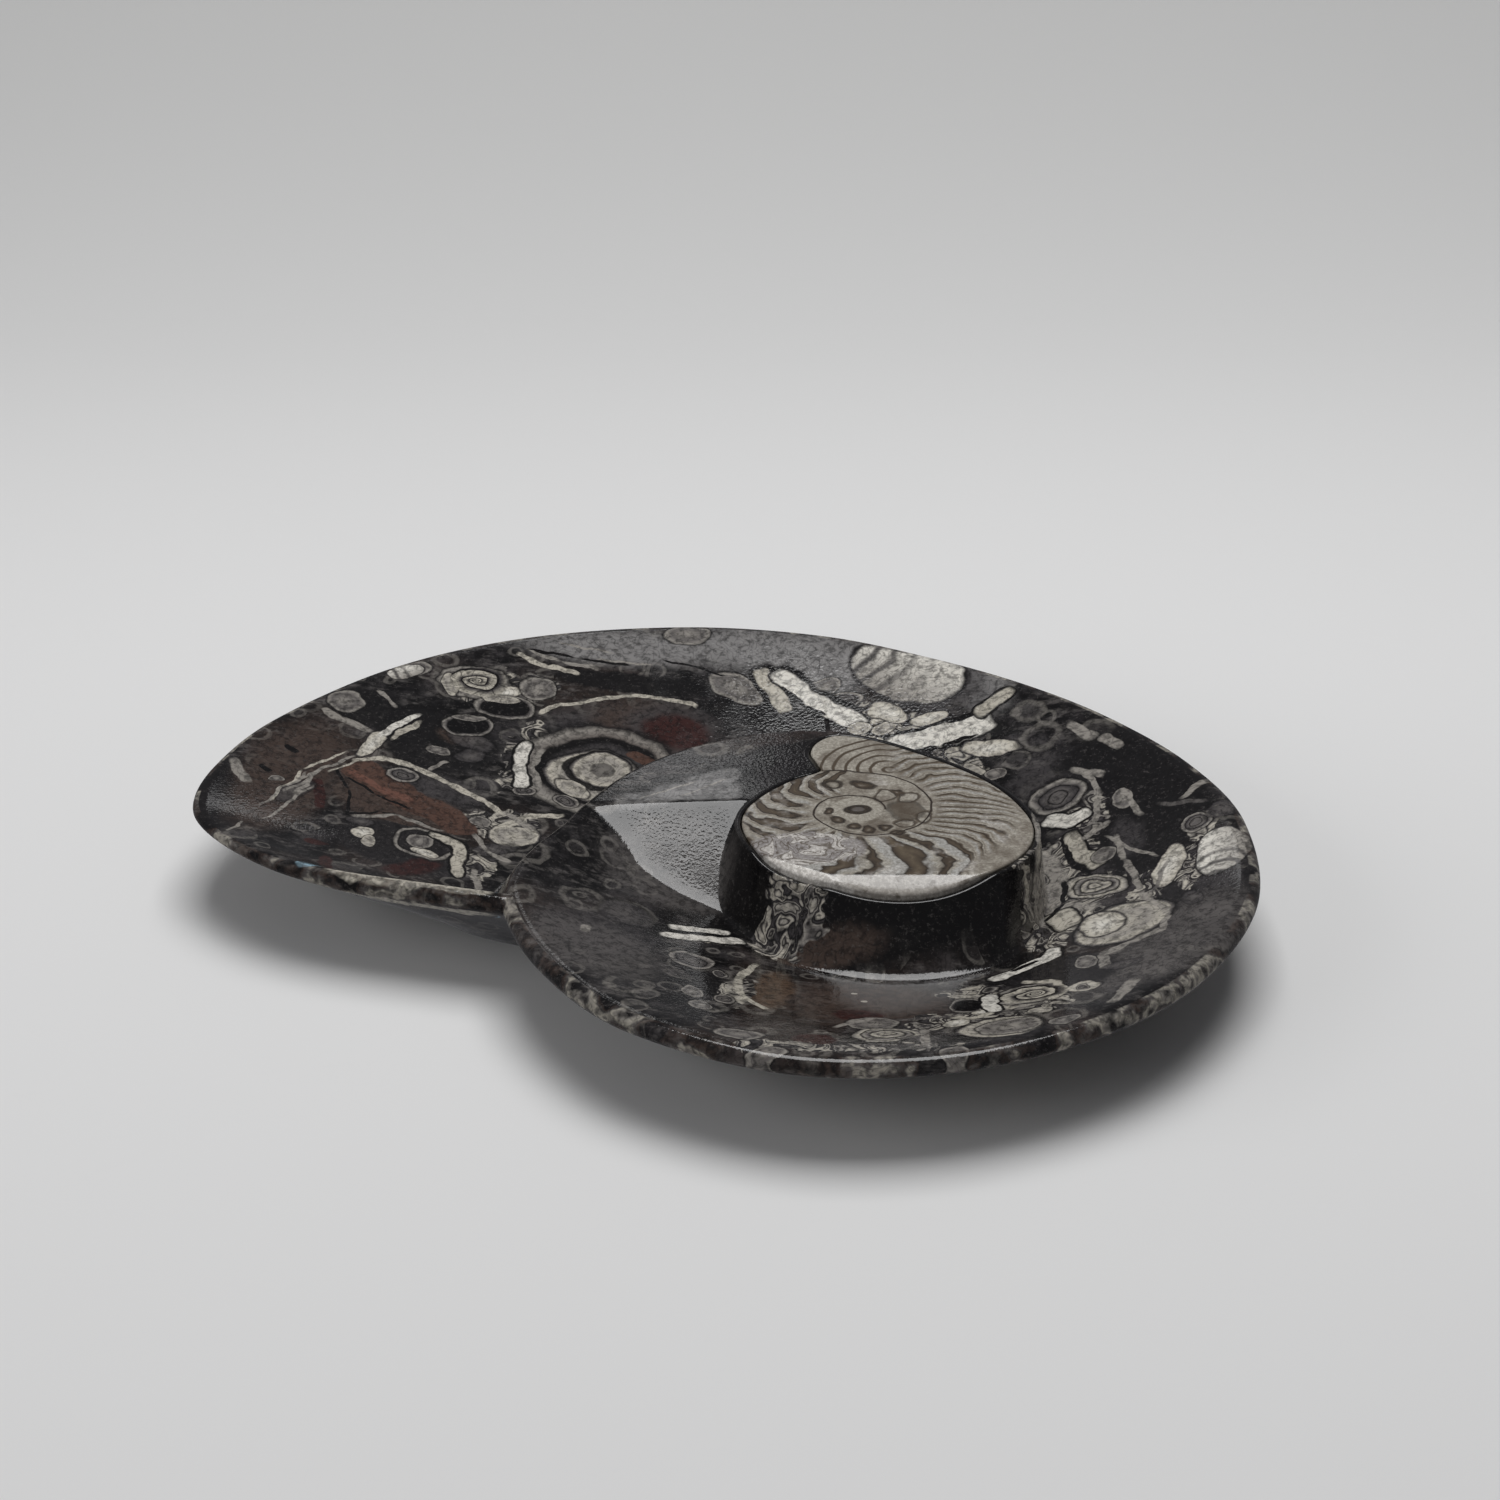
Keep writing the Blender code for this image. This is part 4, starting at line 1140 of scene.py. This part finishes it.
def polished(block, layers, surface):
    """The finish of one block: its sections, the layers of weathering and the polish."""
    lay_sections(block)
    for cover, over in layers:
        block.colour = cover.mix(block.colour, over)
    print("block from", block.low, "to", block.high, "has", block.marks, "sections")
    return block.flat.node("ShaderNodeBsdfPrincipled", {}, {"Base Color": block.colour, **surface})


def joined(blocks, cuts, along):
    """Blocks side by side: past each cut along the plan the finish is the next block's."""
    finish = blocks[0]
    for cut, block in zip(cuts, blocks[1:]):
        beyond = along.math("GREATER_THAN", along, cut)
        finish = along.node("ShaderNodeMixShader", {}, {0: beyond, 1: finish, 2: block})
    return finish


def limestone():
    """The dish's material, as six blocks in three columns of two."""
    material, shader, place = new_stone("polished_black_limestone")
    ragged = place.noise(4.0, detail=2.0, rough=0.6) * 1.6 - 0.8
    moved = stirred(place, *SHELL_WAVES[:2])
    rock = rock_colour(place, moved)
    slab = Slab(rock, stirred(moved, *SHELL_WAVES[2:]), shell_matter(place), ragged)
    layers = weathering(place)
    pits = place.noise(PIT_SIZE, detail=1.0, rough=0.6)
    surface = {
        "Roughness": place.noise(6.0, detail=1.0).between(0.35, 0.75, POLISH, RUBBED),
        "Normal": pits.node("ShaderNodeBump", {}, {
            "Height": pits, "Strength": PIT_STRENGTH, "Distance": PIT_DEPTH}),
        "IOR": STONE_IOR,
    }
    columns = []
    for left, right in zip(COLUMNS[:-1], COLUMNS[1:]):
        rows = [polished(slab.block((left, front), (right, back)), layers, surface)
                for front, back in zip(ROWS[:-1], ROWS[1:])]
        columns.append(joined(rows, ROWS[1:-1], place.dot((0, 1, 0))))
    material.node_tree.nodes.remove(shader)
    output = material.node_tree.nodes["Material Output"]
    feed(output, "Surface", joined(columns, COLUMNS[1:-1], place.dot((1, 0, 0))))
    print("limestone nodes:", len(material.node_tree.nodes))
    return material


dish.data.materials.append(limestone())

# %% [markdown]
# ## The ammonite's stone
# Grinding cut the ammonite through its middle. A dark seam, the older whorl's outside, winds
# about one and a quarter times round the core and ends at the notch beside the mouth. Between
# its turns the chambers' walls show as bent ribs: wide and dark at the left, fine at the right.
# The seam is a curve of radius over turn, and a rib's number is a curve of the turn as well, so
# both are read from ramps, and a point's share of the whorl's width bends the ribs back.

# %% The ammonite's seam, whorl and ribs, in degrees and millimetres
SHELL_CENTRE = (26.4, 0.7)
FIRST_TURN = [(0, 5.3), (90, 5.5), (135, 6.6), (180, 8.0), (225, 8.8), (270, 9.8), (315, 11.8), (360, 14.0)]
SECOND_TURN = [(0, 14.0), (45, 14.9), (90, 15.5), (113, 17.3), (117, 40.0), (360, 40.0)]
WHORL_WIDTH = [(0, 9.0), (113, 12.0), (180, 14.0), (270, 18.0), (360, 18.0)]
MOUTH_WIDTH = 17.0
RADIUS_TOP = 40.0
RIBS = 32
RIB_NUMBER = [(0, 0), (113, 13.9), (122.6, 14.5), (139, 15.5), (153.6, 16.5), (171.6, 17.5), (191, 18.5),
              (211, 19.5), (240, 21.66), (289.7, 24.66), (312, 26.0), (360, 32)]
LEFT_RIBS, FRONT_RIBS = (13.9, 21.0), (21.4, 26.6)
RIB_BEND, RIB_RISE, FRONT_RISE = 0.115, 0.02, 0.08
MIDDLE_END = 113 / 360
CORE_RADIUS = 4.6
MOUTH_MIDDLE = (33.0, 17.0)
MOUTH_LIP = 14.6
MOUTH_LINES = 2.4
EYE_SCALE, EYE_OFFSET = (2 / 5.6, 2 / 3.9, 0), (-0.04, -0.05, 0)
PATCH_SCALE, PATCH_OFFSET = (0.088, 0.145, 0), (0.86, 2.2, 0)
TO_FRONT, FRONT_REACH = (0.3, -0.95, 0), 16.0
CELL_SCALE, CELL_MIDDLE = (2.9, 2.2), 0.56
AMMONITE_WAVES = ((8.0, 1.5), (2.4, 0.5), (0.8, 0.1))
CHAMBER_WAVES = ((5.0, 2.2), (1.8, 1.2), (0.7, 0.3))
BONE = paint(178, 173, 162)
CALCITE = paint(216, 212, 207)
GROUND = paint(186, 181, 174)
PEARL = paint(228, 224, 218)
LILAC = paint(158, 154, 153)
LIME = paint(180, 179, 175)
TAN = paint(138, 131, 121)
UMBER = paint(80, 70, 59)
BRONZE = paint(106, 95, 80)
DUSK = paint(40, 36, 33)
LEFT_CELL = [(0, BRONZE), (0.2, UMBER), (0.55, UMBER), (0.7, DUSK), (0.8, DUSK), (0.92, TAN), (1, BONE)]
FRONT_PAIR = [(0, LIME), (0.14, LIME), (0.19, DUSK), (0.25, UMBER), (0.33, BRONZE), (0.42, UMBER),
              (0.47, DUSK), (0.52, LIME), (0.64, BONE), (0.7, DUSK), (0.78, UMBER), (0.85, DUSK),
              (0.9, BONE), (1, LIME)]
RIGHT_RIB = [(0, BONE), (0.2, LIME), (0.36, TAN), (0.48, BRONZE), (0.58, DUSK), (0.66, UMBER),
             (0.76, BONE), (0.88, TAN), (1, BONE)]
AMMONITE_LOOKS = {
    "chamber": [(0, TAN), (0.3, UMBER), (0.65, DUSK), (0.85, DUSK, 0.8), (1, UMBER, 0)],
    "ring": [(0, BONE), (0.35, TAN), (0.55, DUSK), (0.8, DUSK, 0.9), (1, DUSK, 0)],
    "arch": [(0, BONE, 0), (0.6, TAN, 0), (0.72, DUSK, 0.9), (0.85, UMBER, 0.9), (1, UMBER, 0)],
    "cloud": [(0, UMBER, 0.9), (0.6, UMBER, 0.8), (0.85, DUSK, 0.7), (1, DUSK, 0)],
}
AMMONITE_OVALS = {name: look_group("cell_" + name, look, False)
                  for name, look in AMMONITE_LOOKS.items()}
CHAMBERS = [
    ("ring", 21.8, 11, 5, 4.6, 0), ("chamber", 28, 10.6, 6, 3.4, -20), ("cloud", 35.2, 0.5, 8, 9, 0),
    ("chamber", 22.6, -3.6, 3.4, 2.6, -40), ("chamber", 25.4, -6.2, 3.2, 2.8, 0),
    ("chamber", 28.4, -7.2, 3, 2.8, 10), ("chamber", 31.4, -6.2, 3, 2.6, 40),
    ("chamber", 33.6, -8.5, 3, 3, 0), ("chamber", 20.8, 0, 2.2, 3.4, 0),
    ("chamber", 34, 7.5, 4, 2.6, -30), ("arch", 31.6, 6.4, 5, 5, 0), ("arch", 36, 5.4, 5, 5, 0),
    ("arch", 38.6, -2.4, 4, 6, 0), ("arch", 35, -4.6, 5, 4, 0),
]
print("chambers in the middle:", len(CHAMBERS))

# %% The whorl and its ribs
class Whorl:
    """Where a point lies in the coiled shell. far and turn are its polar place. first and second
    are the seam's radius there on its two turns, and share goes from 0 at the seam inside the
    point's whorl to 1 at the seam outside it."""

    def __init__(self, place):
        flat = stirred(place, *AMMONITE_WAVES).vector("SUBTRACT", (*SHELL_CENTRE, 0))
        self.flat = flat.vector("MULTIPLY", (1, 1, 0))
        self.far, self.turn = self.flat.length(), self.flat.turn()
        self.first = self.turn.along(FIRST_TURN, 360, RADIUS_TOP)
        self.second = self.turn.along(SECOND_TURN, 360, RADIUS_TOP)
        self.last = (self.far - self.second).between(-0.05, 0.05)
        start = self.first + (self.second - self.first) * self.last
        width = self.turn.along(WHORL_WIDTH, 360, RADIUS_TOP)
        width = width + (MOUTH_WIDTH - width) * self.last
        self.share = (self.far - start) / width

    def rib_number(self, place):
        """The ribs counted round the shell. They bend back with the square of the share, and
        forward with the share alone, most of all in front."""
        front = self.flat.dot(TO_FRONT).between(0, FRONT_REACH) * FRONT_RISE + RIB_RISE
        bent = (self.turn + self.share * (self.share * RIB_BEND - front)).fraction()
        wobble = place.noise(5.0, detail=2.0).between(0.3, 0.7, -0.2, 0.2)
        return bent.along(RIB_NUMBER, 360, RIBS) + wobble


def ribbed(whorl, number, plain, tone):
    """Three kinds of ribs over the plain bone: fine ones at the right, cells between bent walls
    at the left, and wide bands in pairs in front."""
    share, rib, pair = whorl.share, number.fraction(), (number * 0.5).fraction()
    fine = rib.node("ShaderNodeValToRGB", {"stops": RIGHT_RIB}, {"Fac": rib})
    shown = share.between(0.0, 0.16) * share.between(1.02, 0.8) * tone.between(0.3, 0.5, 0.5, 1.0)
    middle = (whorl.second - whorl.far).between(0, 0.3) * whorl.turn.between(MIDDLE_END, MIDDLE_END - 0.01)
    colour = (shown * (1 - middle)).mix(plain, fine)

    cell = rib.node("ShaderNodeCombineXYZ", {}, {
        0: (rib - 0.5) * CELL_SCALE[0], 1: (share - CELL_MIDDLE) * CELL_SCALE[1]}).length()
    cells = cell.node("ShaderNodeValToRGB", {"stops": LEFT_CELL}, {"Fac": cell})
    start, end = LEFT_RIBS
    left = number.between(start, start + 0.1) * number.between(end, end - 0.1)
    colour = (left * cell.between(1.0, 0.96)).mix(colour, cells)

    bands = pair.node("ShaderNodeValToRGB", {"stops": FRONT_PAIR}, {"Fac": pair})
    start, end = FRONT_RIBS
    front = number.between(start, start + 0.1) * number.between(end, end - 0.2)
    return (front * share.between(0.0, 0.1)).mix(colour, bands)


print("ribs counted round the shell:", RIBS, "and at the left:", round(LEFT_RIBS[1] - LEFT_RIBS[0]))

# %% [markdown]
# Over the ribs lie a patch of swirled calcite at the left front, the curved growth lines of the
# mouth, and the small chambers of the inner whorls round a dark eye. Last come the seams, and the
# two facets, which were ground across the ribs and so show plain pale stone.

# %% The ammonite's shader
def clouded(colour, whorl, place):
    """Brown and pale shade over the ribs, and the patch of calcite with its dark contour lines."""
    swirl = place.noise(6.0, detail=3.0, twist=1.6)
    calcite = swirl.between(0.4, 0.6).mix(LILAC, CALCITE)
    calcite = (swirl.lines(7, 0.06, 0.2) * 0.75).mix(calcite, UMBER)
    shade = place.noise(7.0, detail=4.0, rough=0.6)
    colour = shade.between(0.5, 0.68, 0, 0.4).mix(colour, UMBER)
    colour = shade.between(0.46, 0.3, 0, 0.5).mix(colour, CALCITE)
    patch = whorl.flat.vector("MULTIPLY_ADD", PATCH_SCALE, PATCH_OFFSET).length() + swirl * 0.5 - 0.25
    return (patch.between(1.0, 0.85) * whorl.share.between(0.0, 0.1)).mix(colour, calcite)


def with_mouth(colour, whorl, plain):
    """Lines one behind the other at the mouth: rings about a point, ending in a pale lip."""
    middle = np.subtract(MOUTH_MIDDLE, SHELL_CENTRE)
    arcs = whorl.flat.vector("SUBTRACT", (*middle.tolist(), 0)).length()
    mouth = (arcs / MOUTH_LINES).lines(1, 0.08, 0.2).mix(plain, UMBER)
    mouth = arcs.between(MOUTH_LIP - 0.4, MOUTH_LIP + 0.4).mix(mouth, BONE)
    return (whorl.last * whorl.flat.dot((1, 0, 0)).between(10, 5)).mix(colour, mouth)


def with_middle(colour, whorl, place, plain, tone):
    """The inner whorls inside the first seam, their chambers, and the dark eye."""
    inner = tone.between(0.4, 0.6, 0, 0.5).mix(plain, UMBER)
    inner = whorl.far.between(CORE_RADIUS + 0.5, CORE_RADIUS).mix(inner, BONE)
    colour = (whorl.first - whorl.far).between(0.1, 0.5).mix(colour, inner)
    slab = Slab(colour, stirred(place, *CHAMBER_WAVES))
    slab.lay_ovals(CHAMBERS, AMMONITE_OVALS)
    eye = whorl.flat.vector("MULTIPLY_ADD", EYE_SCALE, EYE_OFFSET).length()
    colour = eye.between(1.1, 0.9).mix(slab.colour, DUSK)
    return eye.between(0.55, 0.35).mix(colour, GREY)


def with_facets(colour, place):
    """The two ground facets, plain and speckled: the front one, then the paler side one."""
    front = place.dot((0, 1, 0)).between(FACET_EDGE + 0.35, FACET_EDGE - 0.05)
    side = place.vector("SUBTRACT", (*shift, 0)).dot((*FACET_SIDE, 0))
    side = side.between(FACET_SIDE_EDGE - 0.2, FACET_SIDE_EDGE + 0.2)
    specks = place.noise(2.4, detail=3.0, rough=0.6).between(0.56, 0.68)
    colour = front.mix(colour, (specks * 0.6).mix(GROUND, UMBER))
    return side.mix(colour, (specks * 0.5).mix(PEARL, UMBER))


def ammonite_stone():
    """The ammonite's material: ribs, patch, mouth, middle, seams, veins, facets and grains."""
    material, shader, place = new_stone("ground_ammonite")
    whorl = Whorl(place)
    tone = place.noise(5.0, detail=4.0, rough=0.6)
    plain = tone.between(0.35, 0.65).mix(BONE, TAN)
    colour = ribbed(whorl, whorl.rib_number(place), plain, tone)
    colour = clouded(colour, whorl, place)
    colour = with_mouth(colour, whorl, plain)
    colour = with_middle(colour, whorl, place, plain, tone)
    seam = (whorl.far - whorl.first).away_from(0).between(0.3, 0.12)
    last_seam = (whorl.far - whorl.second).away_from(0).between(0.3, 0.12)
    colour = (seam + last_seam).mix(colour, DUSK)
    veins = place.noise(3.2, detail=3.0, twist=0.8).lines(9, 0.03, 0.12)
    colour = with_facets((veins * 0.3).mix(colour, UMBER), place)
    grains = place.noise(0.7, detail=3.0, rough=0.7).between(0.42, 0.64, 0.4, 0)
    feed(shader, "Base Color", grains.mix(colour, UMBER))
    shader.inputs["Roughness"].default_value = RUBBED
    shader.inputs["IOR"].default_value = STONE_IOR
    print("ammonite nodes:", len(material.node_tree.nodes))
    return material


ammonite.data.materials.append(ammonite_stone())

# %% [markdown]
# ## Which solid each piece stands for
# Both fine pieces take the place of their plain solids and rest in the same body.

# %% Ride and replace
for piece, node, slot in ((dish, "fossil_limestone_dish", "black_limestone"),
                          (ammonite, "ammonite", "polished_ammonite")):
    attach(piece, "root")
    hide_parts(node)
    print(piece.name, "stands for the solid", node)

# %% [markdown]
# ## Floor, light and camera
# The dish was photographed on a pale sheet that curves up behind it, under one large softbox.
# A polished black stone shows little but reflections, so where the light ends matters as much as
# how strong it is: its back edge is seen in the dish's back slope and its whole face in the ramp.

# %% The floor and its sweep
SWEEP_START, SWEEP_RADIUS, SWEEP_TURN, SWEEP_RISE = 0.3, 0.3, math.radians(50), 0.06
FLOOR_REACH = 1.6
SHEET_FRONT, SHEET_BACK_PAINTED_SHADE, PAINTED_SHADE_SPAN = (0.77, 0.77, 0.768, 1), (0.46, 0.46, 0.455, 1), (0.08, 0.62)


def make_floor():
    """A level sheet, then part of a circle and a straight rise, carried from left to right."""
    turn = np.linspace(0, SWEEP_TURN, 24)
    y = SWEEP_START + SWEEP_RADIUS * np.sin(turn)
    z = SWEEP_RADIUS * (1 - np.cos(turn))
    y = np.concatenate([[-FLOOR_REACH], y, [y[-1] + SWEEP_RISE * math.cos(SWEEP_TURN)]])
    z = np.concatenate([[0], z, [z[-1] + SWEEP_RISE * math.sin(SWEEP_TURN)]])
    x = np.linspace(-FLOOR_REACH, FLOOR_REACH, 3)
    points = np.stack([np.broadcast_to(x, (len(y), 3)), np.broadcast_to(y[:, None], (len(y), 3)),
                       np.broadcast_to(z[:, None], (len(y), 3))], axis=-1).reshape(-1, 3)
    table = np.arange(len(points)).reshape(len(y), 3)
    mesh = bpy.data.meshes.new("floor_sheet")
    mesh.from_pydata(points.tolist(), [], triangles(table).tolist())
    mesh.shade_smooth()
    floor = bpy.data.objects.new("floor_sheet", mesh)
    bpy.context.scene.collection.objects.link(floor)
    material = bpy.data.materials.new("pale_paper")
    material.use_nodes = True
    paper = material.node_tree.nodes["Principled BSDF"]
    coordinates = material.node_tree.nodes.new("ShaderNodeTexCoord")
    # Painted shade: the sheet's colour turns greyer towards its back, standing in for the light falling off
    # there.
    back = Field(coordinates.outputs["Object"]).dot((0, 1, 0)).between(*PAINTED_SHADE_SPAN)
    feed(paper, "Base Color", back.mix(SHEET_FRONT, SHEET_BACK_PAINTED_SHADE))
    paper.inputs["Roughness"].default_value = 0.9
    paper.inputs["Specular IOR Level"].default_value = 0.2
    mesh.materials.append(material)
    floor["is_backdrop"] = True
    floor.visible_glossy = False
    return floor


floor = make_floor()
print("floor:", len(floor.data.polygons), "triangles, level up to", round(SWEEP_START / MM),
      "mm behind the dish's middle")

# %% Softbox, back card, front fill and the dim room
def area_light(name, radiance, size, place, target=(0, 0, 0)):
    """A rectangle of even brightness: power is radiance times pi times its area."""
    light = bpy.data.lights.new(name, "AREA")
    light.shape = "RECTANGLE"
    light.size, light.size_y = size
    light.energy = radiance * math.pi * size[0] * size[1]
    lamp = bpy.data.objects.new(name, light)
    lamp.location = place
    aim = np.subtract(target, place)
    pitch = math.atan2(math.hypot(aim[0], aim[1]), -aim[2])
    heading = math.atan2(aim[1], aim[0]) - math.pi / 2 if pitch > NEAR_ZERO else 0.0
    lamp.rotation_euler = (pitch, 0, heading)
    bpy.context.scene.collection.objects.link(lamp)
    return lamp


SOFTBOX_PLAN, SOFTBOX_HEIGHT = (0.07, 0.215), 1.0
ROOM = (0.1, 0.1, 0.105, 1)
softbox = area_light("softbox", 5.6, (0.64, 0.73), (*SOFTBOX_PLAN, SOFTBOX_HEIGHT), (*SOFTBOX_PLAN, 0))
back_card = area_light("back_card", 1.2, (0.12, 0.08), (-0.066, 1.128, 0.59))
front_fill = area_light("front_fill", 2.0, (1.1, 0.6), (-1.0, -0.5, 0.55), (-0.05, -0.05, 0))
front_fill.visible_glossy = False
for lamp in (softbox, back_card, front_fill):
    print(lamp.name, "gives", round(lamp.data.energy, 2), "watts")

world = bpy.data.worlds.new("dim_room")
world.use_nodes = True
world.node_tree.nodes["Background"].inputs["Color"].default_value = ROOM
bpy.context.scene.world = world

# %% The camera
CAMERA_TILT = math.radians(63.0)
CAMERA_PLACE = (0.006058, -0.58273, 0.33088)
LENS, SENSOR = 84.0, 36.0

camera_data = bpy.data.cameras.new("camera")
camera_data.lens = LENS
camera_data.sensor_width = SENSOR
camera = bpy.data.objects.new("camera", camera_data)
camera.location = CAMERA_PLACE
camera.rotation_euler = (CAMERA_TILT, 0, 0)
bpy.context.scene.collection.objects.link(camera)
bpy.context.scene.camera = camera
bpy.context.scene.view_settings.view_transform = "Standard"
print("camera:", round(math.hypot(*CAMERA_PLACE) / MM), "mm away, looking down by",
      round(90 - math.degrees(CAMERA_TILT)), "degrees")

# %% Sizes, and the end
shown_low, shown_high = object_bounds()
boxes = {"solids": [list(solids_low), list(solids_high)],
         "shown": [list(shown_low), list(shown_high)]}
for name, box in boxes.items():
    print(name, "box in mm:", np.round(np.array(box) / MM, 2).tolist())
